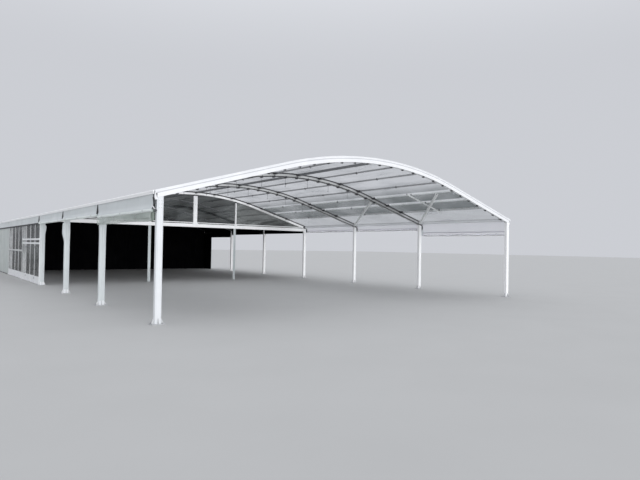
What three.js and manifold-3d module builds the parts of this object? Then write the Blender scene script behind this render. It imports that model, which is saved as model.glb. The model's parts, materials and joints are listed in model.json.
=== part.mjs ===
// Arched clear-span frame marquee, 15.8 m wide and six bays of 5 m long.
// Three front bays have a clear roof and open sides. Three rear bays have an
// opaque roof, glazed and fabric walls on the left and a closed rear end.
// Millimetres, +Z up. X runs across the tent, Y along it, and the open front
// is at -Y. The origin is on the ground, at the middle of the footprint.

import * as THREE from 'three';
import { mergeVertices } from 'three/addons/utils/BufferGeometryUtils.js';
import Module from 'manifold-3d';

const wasm = await Module();
wasm.setup();

// Driving dimensions of the frame
const BAY = 5000;
const BAY_COUNT = 6;
const CLEAR_BAYS = 3;
const WHITE_FRAMES = [1, CLEAR_BAYS + 1, BAY_COUNT + 1];
const LEG_OUTER = 7900;
const PROFILE_WIDTH = 170;
const PROFILE_DEPTH = 120;
const SEAT_GAP = 0.3;

// Arched rafter: a round crown between two straight rafters
const CROWN_HEIGHT = 5132;
const CROWN_RADIUS = 14300;
const RAFTER_PITCH = THREE.MathUtils.degToRad(16.2);
const RAFTER_DEPTH = 200;
const EAVE_REACH = 7960;

// Purlins, ridge beam and eave beams
const CROWN_PURLINS = 3;
const SLOPE_PURLINS = 3;
const CROWN_PURLIN_STEP = 1160;
const SLOPE_PURLIN_STEP = 990;
const PURLIN_SIZE = { width: 50, depth: 56 };
const RIDGE_SIZE = { width: 80, depth: 88 };
const EAVE_SIZE = { width: 70, depth: 100 };
const EAVE_INSET = 110;
const FACETS_PER_PURLIN = 3;

// Roof sheets
const SHEET_DEPTH = 20;
const SHEET_THICKNESS = 8;
const SHEET_SIDE_GAP = 0.5;
const SHEET_LIP = 12;

// Foot plates
const PLATE = { x: 360, y: 260, z: 15 };

// Gable frame between the clear and the opaque bays
const TIE_BOTTOM = 3075;
const TIE_TOP = 3265;
const POST_DEPTH = 90;
const CENTRE_POST_WIDTH = 230;
const SIDE_POST_WIDTH = 80;
const SIDE_POST_X = 2620;
const PANE_THICKNESS = 8;
const PANE_HALF_WIDTH = 7650;

// Eave flaps, and the side walls rolled up under them in the open bays
const FLAP_THICKNESS = 16;
const FLAP_BOTTOM = 2990;
const FLAP_END_GAP = 30;
const ROLL_SIDES = 12;
const ROLLED_LEFT = [
  { radius: 70, bottom: 2655 },
  { radius: 60, bottom: 2905 },
  { radius: 60, bottom: 2905 },
];
const ROLLED_RIGHT = [
  { radius: 70, bottom: 2680 },
  { radius: 60, bottom: 2985 },
  { radius: 60, bottom: 2985 },
  { radius: 60, bottom: 2985 },
  { radius: 60, bottom: 2985 },
  { radius: 70, bottom: 2750 },
];

// Left and rear walls: the glazed wall spans two bays
const GLAZED_BAYS = 2;
const WINDOW_FRAME = { thickness: 40, width: 60 };
const WINDOW_PANE_THICKNESS = 8;
const WINDOWS_PER_BAY = 4;
const WINDOW_RAILS = [[2000, 2200], [1580]];
const KICK_PANEL_TOP = 1000;
const FABRIC_WALL_THICKNESS = 30;

const LEG_CENTRE = LEG_OUTER - PROFILE_WIDTH / 2;
const LEG_INNER = LEG_OUTER - PROFILE_WIDTH;
const WALL_FOOT = PLATE.z + SEAT_GAP;
const CROWN_CENTRE = CROWN_HEIGHT - CROWN_RADIUS;
const CROWN_ARC = CROWN_RADIUS * RAFTER_PITCH;
const CROWN_HALF_WIDTH = CROWN_RADIUS * Math.sin(RAFTER_PITCH);
const RAFTER_END = CROWN_ARC + (EAVE_REACH - CROWN_HALF_WIDTH) / Math.cos(RAFTER_PITCH);
const FACET = CROWN_PURLIN_STEP / FACETS_PER_PURLIN;
const PURLIN_TOP = SHEET_DEPTH + SHEET_THICKNESS + SEAT_GAP;

function paint(color, roughness, metalness, opacity = 1) {
  const transparent = opacity < 1;
  return () => new THREE.MeshStandardMaterial({ color, roughness, metalness, transparent, opacity });
}

const FINISH = {
  whiteFrame: paint(0xf2f3f3, 0.35, 0.1),
  greyFrame: paint(0xa9adb0, 0.45, 0.7),
  darkBar: paint(0x6d7073, 0.5, 0.6),
  clearSheet: paint(0xc9d6dc, 0.15, 0, 0.35),
  whiteSheet: paint(0xe4e6e8, 0.6, 0),
  whiteFabric: paint(0xdcdfe0, 0.75, 0),
};

const tent = new THREE.Group();

function addMesh(name, geometry, finish, y = 0) {
  const mesh = new THREE.Mesh(geometry, finish());
  mesh.name = name;
  mesh.position.y = y;
  tent.add(mesh);
  return mesh;
}

// Point on the rafter at the arc length s from the crown, at a depth under
// its outer face. Negative s is the left half.
function rafterPoint(s, depth) {
  const side = Math.sign(s) || 1;
  const reach = Math.abs(s);
  const angle = Math.min(reach, CROWN_ARC) / CROWN_RADIUS;
  const straight = Math.max(reach - CROWN_ARC, 0);
  const radius = CROWN_RADIUS - depth;
  const x = radius * Math.sin(angle) + straight * Math.cos(angle);
  const z = CROWN_CENTRE + radius * Math.cos(angle) - straight * Math.sin(angle);
  return new THREE.Vector2(side * x, z);
}

// Arc lengths at which the faceted rafter bends, with a purlin over the
// middle of every third facet.
function rafterStations() {
  const half = [];
  for (let s = FACET / 2; s < CROWN_ARC; s += FACET) {
    half.push(s);
  }
  half.push(CROWN_ARC);
  half.push(RAFTER_END);
  const left = half.map((s) => -s).reverse();
  return [...left, ...half];
}

const STATIONS = rafterStations();

function rafterLine(depth, lip = 0) {
  const last = STATIONS.length - 1;
  return STATIONS.map((s, i) => rafterPoint(i === 0 || i === last ? s + Math.sign(s) * lip : s, depth));
}

// Closed outline of the band between two depths under the outer face. Its
// ends reach past those of the rafter by the lip.
function rafterBand(top, bottom, lip = 0) {
  return [...rafterLine(top, lip), ...rafterLine(bottom, lip).reverse()];
}

const UNDERSIDE = rafterLine(RAFTER_DEPTH);

function undersideAt(x) {
  const next = UNDERSIDE.findIndex((point) => point.x >= x);
  const a = UNDERSIDE[next - 1];
  const b = UNDERSIDE[next];
  const t = (x - a.x) / (b.x - a.x);
  return a.y + t * (b.y - a.y);
}

// Outline points just under the rafter from one x to another
function underRafter(fromX, toX) {
  const inner = UNDERSIDE.filter((point) => point.x > fromX && point.x < toX);
  const ends = [fromX, toX].map((x) => new THREE.Vector2(x, undersideAt(x)));
  const line = [ends[0], ...inner, ends[1]];
  return line.map((point) => new THREE.Vector2(point.x, point.y - SEAT_GAP));
}

// Rectangle of a bar that runs along the tent, square to the rafter at s
function barOutline(s, size, top, grow = 0) {
  const a = rafterPoint(s - FACET / 2, top);
  const b = rafterPoint(s + FACET / 2, top);
  const along = b.clone().sub(a).normalize();
  const down = new THREE.Vector2(along.y, -along.x);
  const middle = a.clone().add(b).multiplyScalar(0.5);
  const half = size.width / 2 + grow;
  const corner = (side, depth) => middle.clone()
    .addScaledVector(along, side * half)
    .addScaledVector(down, depth);
  const low = size.depth + grow;
  return [corner(-1, -grow), corner(1, -grow), corner(1, low), corner(-1, low)];
}

// The bar over the crown lies across the mirror plane, where s changes sign
function ridgeOutline(grow = 0) {
  const top = rafterPoint(FACET / 2, PURLIN_TOP).y + grow;
  const low = top - RIDGE_SIZE.depth - 2 * grow;
  const half = RIDGE_SIZE.width / 2 + grow;
  return [[-half, top], [half, top], [half, low], [-half, low]].map(([x, z]) => new THREE.Vector2(x, z));
}

function mirrored(outline) {
  return outline.map((point) => new THREE.Vector2(-point.x, point.y));
}

// Solid with an outline in the X-Z plane, from y to y + length
function extrudeAlongTent(outline, y, length, holes = []) {
  const turned = THREE.ShapeUtils.isClockWise(outline);
  const shape = new THREE.Shape(turned ? [...outline].reverse() : outline);
  shape.holes = holes.map((hole) => new THREE.Path(hole));
  const geometry = new THREE.ExtrudeGeometry(shape, { depth: length, bevelEnabled: false, steps: 1 });
  geometry.rotateX(Math.PI / 2);
  geometry.translate(0, y + length, 0);
  return geometry;
}

function box(x, y, z) {
  const geometry = new THREE.BoxGeometry(x[1] - x[0], y[1] - y[0], z[1] - z[0]);
  geometry.translate((x[0] + x[1]) / 2, (y[0] + y[1]) / 2, (z[0] + z[1]) / 2);
  return geometry;
}

function toSolid(geometry) {
  const bare = geometry.clone();
  bare.deleteAttribute('normal');
  bare.deleteAttribute('uv');
  const merged = mergeVertices(bare);
  const vertProperties = merged.attributes.position.array;
  const triVerts = Uint32Array.from(merged.index.array);
  return new wasm.Manifold(new wasm.Mesh({ numProp: 3, vertProperties, triVerts }));
}

function toGeometry(solid) {
  const whole = solid.getMesh();
  const result = new THREE.BufferGeometry();
  result.setAttribute('position', new THREE.BufferAttribute(whole.vertProperties, 3));
  result.setIndex(new THREE.BufferAttribute(whole.triVerts, 1));
  return result;
}

const SIDES = [{ name: 'left', sign: -1 }, { name: 'right', sign: 1 }];

function frameY(number) {
  return (number - 1 - BAY_COUNT / 2) * BAY;
}

function isEndFrame(number) {
  return number === 1 || number === BAY_COUNT + 1;
}

// Purlin lines of one side, from the ridge to the eave. They lie closer
// together on the straight slope than over the crown.
function sideBars() {
  const bars = [];
  let s = 0;
  for (let i = 1; i <= CROWN_PURLINS + SLOPE_PURLINS; i += 1) {
    s += i <= CROWN_PURLINS ? CROWN_PURLIN_STEP : SLOPE_PURLIN_STEP;
    bars.push({ label: `purlin_%_${i}`, s, size: PURLIN_SIZE });
  }
  bars.push({ label: 'eave_beam_%', s: RAFTER_END - EAVE_INSET, size: EAVE_SIZE });
  return bars;
}

const SIDE_BARS = sideBars();

function barHoles() {
  const right = SIDE_BARS.map((bar) => barOutline(bar.s, bar.size, PURLIN_TOP, SEAT_GAP));
  return [ridgeOutline(SEAT_GAP), ...right, ...right.map(mirrored)];
}

// Arched rafters: the bars pass through those between the two end frames
function buildArches() {
  const outline = rafterBand(0, RAFTER_DEPTH);
  for (let i = 1; i <= BAY_COUNT + 1; i += 1) {
    const holes = isEndFrame(i) ? [] : barHoles();
    const finish = WHITE_FRAMES.includes(i) ? FINISH.whiteFrame : FINISH.greyFrame;
    const geometry = extrudeAlongTent(outline, -PROFILE_DEPTH / 2, PROFILE_DEPTH, holes);
    addMesh(`arch_${i}`, geometry, finish, frameY(i));
  }
}

function legGeometry(sign) {
  const inner = LEG_INNER;
  const outer = LEG_OUTER;
  const top = (x) => undersideAt(x) - SEAT_GAP;
  const right = [[inner, 0], [outer, 0], [outer, top(outer)], [inner, top(inner)]];
  const outline = right.map(([x, z]) => new THREE.Vector2(sign * x, z));
  const post = extrudeAlongTent(outline, -PROFILE_DEPTH / 2, PROFILE_DEPTH);
  const centre = sign * LEG_CENTRE;
  const plate = box(
    [centre - PLATE.x / 2, centre + PLATE.x / 2],
    [-PLATE.y / 2, PLATE.y / 2],
    [0, PLATE.z],
  );
  return toGeometry(toSolid(post).add(toSolid(plate)));
}

function buildLegs() {
  for (const side of SIDES) {
    for (let i = 1; i <= BAY_COUNT + 1; i += 1) {
      addMesh(`leg_${side.name}_${i}`, legGeometry(side.sign), FINISH.whiteFrame, frameY(i));
    }
  }
}

function buildBars() {
  const start = frameY(1) + PROFILE_DEPTH / 2 + SEAT_GAP;
  const length = -2 * start;
  addMesh('purlin_ridge', extrudeAlongTent(ridgeOutline(), start, length), FINISH.darkBar);
  for (const side of SIDES) {
    for (const bar of SIDE_BARS) {
      const right = barOutline(bar.s, bar.size, PURLIN_TOP);
      const outline = side.sign > 0 ? right : mirrored(right);
      const finish = bar.size === EAVE_SIZE ? FINISH.whiteFrame : FINISH.darkBar;
      addMesh(bar.label.replace('%', side.name), extrudeAlongTent(outline, start, length), finish);
    }
  }
}

function buildRoofSheets() {
  const outline = rafterBand(SHEET_DEPTH, SHEET_DEPTH + SHEET_THICKNESS, SHEET_LIP);
  const length = BAY - PROFILE_DEPTH - 2 * SHEET_SIDE_GAP;
  for (let i = 1; i <= BAY_COUNT; i += 1) {
    const clear = i <= CLEAR_BAYS;
    const y = frameY(i) + PROFILE_DEPTH / 2 + SHEET_SIDE_GAP;
    const name = clear ? `roof_clear_${i}` : `roof_white_${i}`;
    const finish = clear ? FINISH.clearSheet : FINISH.whiteSheet;
    addMesh(name, extrudeAlongTent(outline, y, length), finish);
  }
}

// Tie beam, posts and clear pane in the plane of the middle frame
function buildGable() {
  const y = frameY(CLEAR_BAYS + 1);
  const reach = LEG_INNER - SEAT_GAP;
  const front = -PROFILE_DEPTH / 2;
  const tie = box([-reach, reach], [front, -front], [TIE_BOTTOM, TIE_TOP]);
  addMesh('gable_tie_beam', tie, FINISH.whiteFrame, y);

  const foot = TIE_TOP + SEAT_GAP;
  const posts = [['left', -SIDE_POST_X, SIDE_POST_WIDTH], ['centre', 0, CENTRE_POST_WIDTH],
    ['right', SIDE_POST_X, SIDE_POST_WIDTH]];
  for (const [name, x, width] of posts) {
    const from = x - width / 2;
    const to = x + width / 2;
    const base = [new THREE.Vector2(to, foot), new THREE.Vector2(from, foot)];
    const outline = [...underRafter(from, to), ...base];
    addMesh(`gable_post_${name}`, extrudeAlongTent(outline, front, POST_DEPTH), FINISH.whiteFrame, y);
  }

  const bottom = [new THREE.Vector2(PANE_HALF_WIDTH, foot), new THREE.Vector2(-PANE_HALF_WIDTH, foot)];
  const pane = [...underRafter(-PANE_HALF_WIDTH, PANE_HALF_WIDTH), ...bottom];
  const paneY = front + POST_DEPTH + SEAT_GAP;
  addMesh('gable_pane', extrudeAlongTent(pane, paneY, PANE_THICKNESS), FINISH.clearSheet, y);
}

const SHEET_EDGE = rafterPoint(RAFTER_END + SHEET_LIP, SHEET_DEPTH);
const FLAP_INNER = SHEET_EDGE.x + SEAT_GAP;
const FLAP_OUTER = FLAP_INNER + FLAP_THICKNESS;

// Flap that hangs from the roof's edge, with the rolled-up wall at its foot
function rolledOutline({ radius, bottom }) {
  const x = (FLAP_INNER + FLAP_OUTER) / 2;
  const centre = bottom + radius;
  const open = Math.asin(FLAP_THICKNESS / 2 / radius);
  const outline = [new THREE.Vector2(FLAP_INNER, SHEET_EDGE.y), new THREE.Vector2(FLAP_OUTER, SHEET_EDGE.y)];
  for (let i = 0; i <= ROLL_SIDES; i += 1) {
    const angle = Math.PI / 2 - open - (i / ROLL_SIDES) * (2 * Math.PI - 2 * open);
    const around = new THREE.Vector2(Math.cos(angle), Math.sin(angle)).multiplyScalar(radius);
    outline.push(new THREE.Vector2(x, centre).add(around));
  }
  return outline;
}

function buildRolledWalls() {
  const hang = (side, rolls) => rolls.forEach((roll, i) => {
    const bay = i + 1;
    const right = rolledOutline(roll);
    const outline = side === 'left' ? mirrored(right) : right;
    const length = BAY - 2 * FLAP_END_GAP;
    const geometry = extrudeAlongTent(outline, frameY(bay) + FLAP_END_GAP, length);
    addMesh(`rolled_wall_${side}_${bay}`, geometry, FINISH.whiteFabric);
  });
  hang('left', ROLLED_LEFT);
  hang('right', ROLLED_RIGHT);
}

// Window openings of the glazed wall, between its posts and rails and over
// its closed kick panel
function windowOpenings(x, pitch, top) {
  const bar = WINDOW_FRAME.width;
  return WINDOW_RAILS.flatMap((rails, bay) => {
    const edges = [KICK_PANEL_TOP - bar / 2, ...rails, top - bar / 2];
    const openings = [];
    for (let i = bay * WINDOWS_PER_BAY; i < (bay + 1) * WINDOWS_PER_BAY; i += 1) {
      for (let k = 1; k < edges.length; k += 1) {
        openings.push(box(x, [i * pitch + bar, (i + 1) * pitch], [edges[k - 1] + bar / 2, edges[k] - bar / 2]));
      }
    }
    return openings;
  });
}

// Glazed wall of the first closed bays: a frame of posts and rails round one
// pane, whose edges lie inside the bars.
function windowWall(top) {
  const length = GLAZED_BAYS * BAY - FLAP_END_GAP;
  const bar = WINDOW_FRAME.width;
  const pitch = (length - bar) / (GLAZED_BAYS * WINDOWS_PER_BAY);
  const inner = -LEG_OUTER - SEAT_GAP;
  const outer = inner - WINDOW_FRAME.thickness;
  const openings = windowOpenings([outer - bar, inner + bar], pitch, top).map(toSolid);
  const plate = toSolid(box([outer, inner], [0, length], [WALL_FOOT, top]));
  const frame = openings.reduce((solid, opening) => solid.subtract(opening), plate);
  const middle = (inner + outer) / 2;
  const across = [middle - WINDOW_PANE_THICKNESS / 2, middle + WINDOW_PANE_THICKNESS / 2];
  const pane = box(across, [bar / 2, length - bar / 2], [WALL_FOOT + bar / 2, top - bar / 2]);
  return toGeometry(frame.add(toSolid(pane)));
}

function buildWalls() {
  const top = rafterPoint(RAFTER_END, RAFTER_DEPTH).y - SEAT_GAP;
  const firstClosed = frameY(CLEAR_BAYS + 1);
  addMesh('window_wall_left', windowWall(top), FINISH.whiteFrame, firstClosed);

  const inner = -LEG_OUTER - SEAT_GAP;
  const rearEnd = frameY(BAY_COUNT + 1) + PROFILE_DEPTH / 2;
  const fabricStart = firstClosed + GLAZED_BAYS * BAY;
  const side = box([inner - FABRIC_WALL_THICKNESS, inner], [fabricStart, rearEnd], [WALL_FOOT, top]);
  addMesh('fabric_wall_left', side, FINISH.whiteFabric);

  const reach = LEG_INNER - SEAT_GAP;
  const bottom = [new THREE.Vector2(reach, WALL_FOOT), new THREE.Vector2(-reach, WALL_FOOT)];
  const rear = [...underRafter(-reach, reach), ...bottom];
  const middle = -FABRIC_WALL_THICKNESS / 2;
  addMesh('fabric_wall_rear', extrudeAlongTent(rear, middle, FABRIC_WALL_THICKNESS),
    FINISH.whiteFabric, frameY(BAY_COUNT + 1));

  const flapY = [firstClosed + FLAP_END_GAP, rearEnd];
  addMesh('eave_flap_left', box([-FLAP_OUTER, -FLAP_INNER], flapY, [FLAP_BOTTOM, SHEET_EDGE.y]),
    FINISH.whiteFabric);
}

buildArches();
buildLegs();
buildBars();
buildRoofSheets();
buildGable();
buildRolledWalls();
buildWalls();

export default tent;
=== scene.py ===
"""Looks of an arched clear-span frame marquee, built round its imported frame.

The tent stands in metres: X runs across it, Y along it with the open front at -Y, and Z is up.
Each sub-assembly is a class with its sizes as fields and methods that build and dress its pieces.
"""

from __future__ import annotations

import json
import logging
import random
from dataclasses import dataclass
from enum import Enum
from functools import cache
from itertools import accumulate
from math import copysign, cos, exp, pi, radians, sin, sqrt, tan
from typing import Callable, Iterable, Protocol, Sequence

import bpy
from mathutils import Matrix, Vector, noise

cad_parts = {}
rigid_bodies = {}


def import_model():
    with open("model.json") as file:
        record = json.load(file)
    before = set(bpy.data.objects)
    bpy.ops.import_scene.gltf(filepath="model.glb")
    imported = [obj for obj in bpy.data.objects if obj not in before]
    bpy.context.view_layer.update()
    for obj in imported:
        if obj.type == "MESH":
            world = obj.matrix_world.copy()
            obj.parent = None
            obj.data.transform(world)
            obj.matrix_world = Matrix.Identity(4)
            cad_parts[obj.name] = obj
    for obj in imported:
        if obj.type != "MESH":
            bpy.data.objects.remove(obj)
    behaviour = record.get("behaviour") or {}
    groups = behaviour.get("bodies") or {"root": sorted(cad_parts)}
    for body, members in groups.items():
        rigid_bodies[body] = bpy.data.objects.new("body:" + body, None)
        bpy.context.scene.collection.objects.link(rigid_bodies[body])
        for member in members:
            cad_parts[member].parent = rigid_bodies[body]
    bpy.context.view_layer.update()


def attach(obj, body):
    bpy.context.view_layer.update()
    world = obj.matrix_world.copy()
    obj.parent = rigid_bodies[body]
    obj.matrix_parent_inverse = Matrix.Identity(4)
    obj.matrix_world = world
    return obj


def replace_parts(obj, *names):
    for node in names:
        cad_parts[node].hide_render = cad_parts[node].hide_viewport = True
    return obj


log = logging.getLogger("marquee")

Colour = tuple[float, float, float]
Row = list[Vector]
Outline = list[tuple[float, float]]
Socket = bpy.types.NodeSocket

BODY = "root"
FRAME_COUNT = 7
CLEAR_BAYS = 3
WHITE_FRAMES = (1, CLEAR_BAYS + 1, FRAME_COUNT)
SHEET_DEPTH = 0.024
CROWN_PURLINS = 3
SLOPE_PURLINS = 3
CROWN = 1e-6  # arc length of the crown, just right of the middle


class Slot(Enum):
    """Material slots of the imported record."""

    WHITE_FRAME = "white_frame"
    GREY_FRAME = "grey_frame"
    GREY_BAR = "grey_bar"
    CLEAR_SHEET = "clear_sheet"
    WHITE_SHEET = "white_sheet"
    WHITE_FABRIC = "white_fabric"
    CLEAR_PANE = "clear_pane"
    BAG_FILM = "bag_film"
    STEEL_FITTING = "steel_fitting"
    BLACK_WEBBING = "black_webbing"
    DARK_LINING = "dark_lining"


class Side(Enum):
    """The two long sides of the tent, as the sign of X."""

    LEFT = -1
    RIGHT = 1

    @property
    def label(self) -> str:
        """Name of the side in node and piece names."""
        return self.name.lower()


# Materials


class NodeSketch:
    """Adds nodes to one tree and links them."""

    def __init__(self, tree: bpy.types.NodeTree) -> None:
        """Takes the tree that gets the nodes."""
        self.tree = tree

    def give(self, end: Socket, value: object) -> None:
        """Links a socket to an input, or sets the input's own value.

        Args:
            end: The input.
            value: Another node's socket, a number or a colour.
        """
        if isinstance(value, Socket):
            self.tree.links.new(value, end)
        else:
            end.default_value = value

    def add(self, kind: str, inputs: dict[str | int, object] | None = None, **settings: object) -> bpy.types.Node:
        """Adds a node.

        Args:
            kind: Blender's name of the node's type.
            inputs: What its inputs get, by their names or numbers.
            **settings: Attributes of the node and their values.

        Returns:
            The new node.
        """
        node = self.tree.nodes.new(kind)
        for key, value in settings.items():
            setattr(node, key, value)
        for key, value in (inputs or {}).items():
            self.give(node.inputs[key], value)
        return node

    def calculate(self, operation: str, *values: Socket | float) -> Socket:
        """Result of one Math node, from sockets or numbers."""
        return self.add("ShaderNodeMath", dict(enumerate(values)), operation=operation).outputs["Value"]

    def spread(self, value: Socket, source: tuple[float, float], target: tuple[float, float] = (0.0, 1.0),
               curve: str = "LINEAR") -> Socket:
        """Maps a range of values to another, and clamps it there.

        Args:
            value: The value's socket.
            source: Lowest and highest value taken.
            target: What they become.
            curve: Blender's name of the way between them.

        Returns:
            The mapped value's socket.
        """
        inputs = dict(zip(("From Min", "From Max", "To Min", "To Max"), (*source, *target)))
        return self.add("ShaderNodeMapRange", {"Value": value, **inputs}, interpolation_type=curve).outputs["Result"]

    def blend(self, share: Socket, first: Colour | Socket, second: Colour) -> Socket:
        """Mixes two colours.

        Args:
            share: How much of the second one shows, from 0 to 1.
            first: First colour, or the socket that gives it.
            second: Second colour.

        Returns:
            The mixed colour's socket.
        """
        start = first if isinstance(first, Socket) else (*first, 1)
        return self.add("ShaderNodeMix", {"Factor": share, 6: start, 7: (*second, 1)}, data_type="RGBA").outputs[2]


class ShaderSketch(NodeSketch):
    """Builds one node material round its Principled shader."""

    def __init__(self, name: str) -> None:
        """Starts an empty material.

        Args:
            name: Name of the material.
        """
        self.material = bpy.data.materials.new(name)
        self.material.use_nodes = True
        super().__init__(self.material.node_tree)
        self.surface = self.tree.nodes["Principled BSDF"]
        self.places: dict[str, Socket] = {}

    def set(self, **values: object) -> None:
        """Sets or links the shader's own inputs, named with underscores for spaces."""
        for key, value in values.items():
            self.give(self.surface.inputs[key.replace("_", " ")], value)

    def place(self, stretch: Sequence[float] = (1, 1, 1), flat: bool = False, tilt: float = 0.0) -> Socket:
        """Texture coordinates in metres.

        Args:
            stretch: Scale along each axis.
            flat: True for the cloth's or bar's own flat coordinates, False for the tent's axes.
            tilt: How far the stretched pattern is turned anticlockwise, in degrees.

        Returns:
            The socket of the scaled coordinates.
        """
        source = "UV" if flat else "Object"
        if source not in self.places:
            self.places[source] = self.add("ShaderNodeTexCoord").outputs[source]
        place = self.places[source]
        if tilt:
            turn = (0.0, 0.0, -radians(tilt))
            place = self.add("ShaderNodeMapping", {"Vector": place, "Rotation": turn}).outputs["Vector"]
        return self.add("ShaderNodeMapping", {"Vector": place, "Scale": stretch}).outputs["Vector"]

    def noise(self, place: Socket, scale: float, detail: float = 3.0, warp: float = 0.0) -> Socket:
        """Noise value from 0 to 1.

        Args:
            place: Texture coordinates.
            scale: Cells per metre.
            detail: Number of finer octaves.
            warp: How strongly the noise bends itself.

        Returns:
            The noise value's socket.
        """
        inputs = {"Vector": place, "Scale": scale, "Detail": detail, "Distortion": warp}
        return self.add("ShaderNodeTexNoise", inputs).outputs["Fac"]

    def wave(self, place: Socket, scale: float, axis: str) -> Socket:
        """Parallel bands along one axis, X, Y or Z."""
        return self.add("ShaderNodeTexWave", {"Vector": place, "Scale": scale}, bands_direction=axis).outputs["Fac"]

    def relief(self, layers: Sequence[tuple[Socket, float]]) -> None:
        """Bumps the surface by several heights on top of each other.

        Args:
            layers: Height sockets, each with its depth in metres.
        """
        inputs: dict[str | int, object] = {}
        for height, depth in layers:
            normal = self.add("ShaderNodeBump", {**inputs, "Height": height, "Distance": depth}).outputs["Normal"]
            inputs = {"Normal": normal}
        self.set(**inputs)


@dataclass(frozen=True)
class PaintedMetal:
    """Satin paint on an extruded profile, with faint patches, scuffs and grime."""

    name: str
    colour: Colour
    patch: Colour
    gloss: tuple[float, float] = (0.28, 0.48)
    slot: Slot = Slot.WHITE_FRAME

    def material(self) -> bpy.types.Material:
        """Builds the material.

        Returns:
            The material.
        """
        sketch = ShaderSketch(self.name)
        cloudy = sketch.noise(sketch.place(), 1.7, 5.0)
        patches = sketch.blend(sketch.spread(cloudy, (0.42, 0.72), (0.0, 0.8)), self.colour, self.patch)
        scuffs = sketch.noise(sketch.place((1, 1, 0.2)), 38.0, 4.0, 0.6)
        worn = sketch.blend(sketch.spread(scuffs, (0.62, 0.8), (0.0, 0.3)), patches, (0.45, 0.45, 0.44))
        sketch.set(Base_Color=worn, Roughness=sketch.spread(cloudy, (0.3, 0.7), self.gloss))
        peel = sketch.noise(sketch.place(), 420.0, 2.0)
        sketch.relief([(cloudy, 0.0006), (peel, 0.00004)])
        return sketch.material


@dataclass(frozen=True)
class DrawnAluminium:
    """Bare aluminium with die lines along the profile and a dull oxide."""

    name: str
    colour: Colour
    stain: Colour
    metallic: float = 0.55
    slot: Slot = Slot.GREY_FRAME

    def material(self) -> bpy.types.Material:
        """Builds the material.

        Returns:
            The material.
        """
        sketch = ShaderSketch(self.name)
        lines = sketch.noise(sketch.place((0.25, 90, 1), flat=True), 3.0, 4.0)
        oxide = sketch.noise(sketch.place(), 4.5, 5.0)
        base = sketch.blend(sketch.spread(lines, (0.35, 0.7), (0.0, 0.6)), self.colour, self.stain)
        dull = sketch.blend(sketch.spread(oxide, (0.5, 0.75), (0.0, 0.7)), base, self.stain)
        sketch.set(Base_Color=dull, Roughness=sketch.spread(oxide, (0.3, 0.7), (0.38, 0.6)), Metallic=self.metallic)
        sketch.relief([(lines, 0.0001), (oxide, 0.0003)])
        return sketch.material


@dataclass(frozen=True)
class SteelFitting:
    """Forged and galvanised fitting with a mottled dark skin."""

    name: str
    colour: Colour
    spot: Colour
    slot: Slot = Slot.STEEL_FITTING

    def material(self) -> bpy.types.Material:
        """Builds the material.

        Returns:
            The material.
        """
        sketch = ShaderSketch(self.name)
        spangle = sketch.noise(sketch.place(), 90.0, 3.0, 0.8)
        sketch.set(Base_Color=sketch.blend(spangle, self.colour, self.spot), Metallic=0.7,
                   Roughness=sketch.spread(spangle, (0.3, 0.7), (0.35, 0.65)))
        sketch.relief([(spangle, 0.0004)])
        return sketch.material


@dataclass(frozen=True)
class Soil:
    """Painted shade on a clear roof sheet, by distance from the ridge: darkest on the lower slopes, with painted light
    in strips along the purlins.
    """

    ridge: float
    clean: float
    dirty: float
    eave: float
    bars: tuple[float, ...]
    above: float = 0.13
    below: float = 0.03
    edge: float = 0.03
    washed: float = 0.12
    colour: Colour = (0.085, 0.115, 0.115)
    share: float = 0.9
    cover: float = 0.88


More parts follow.
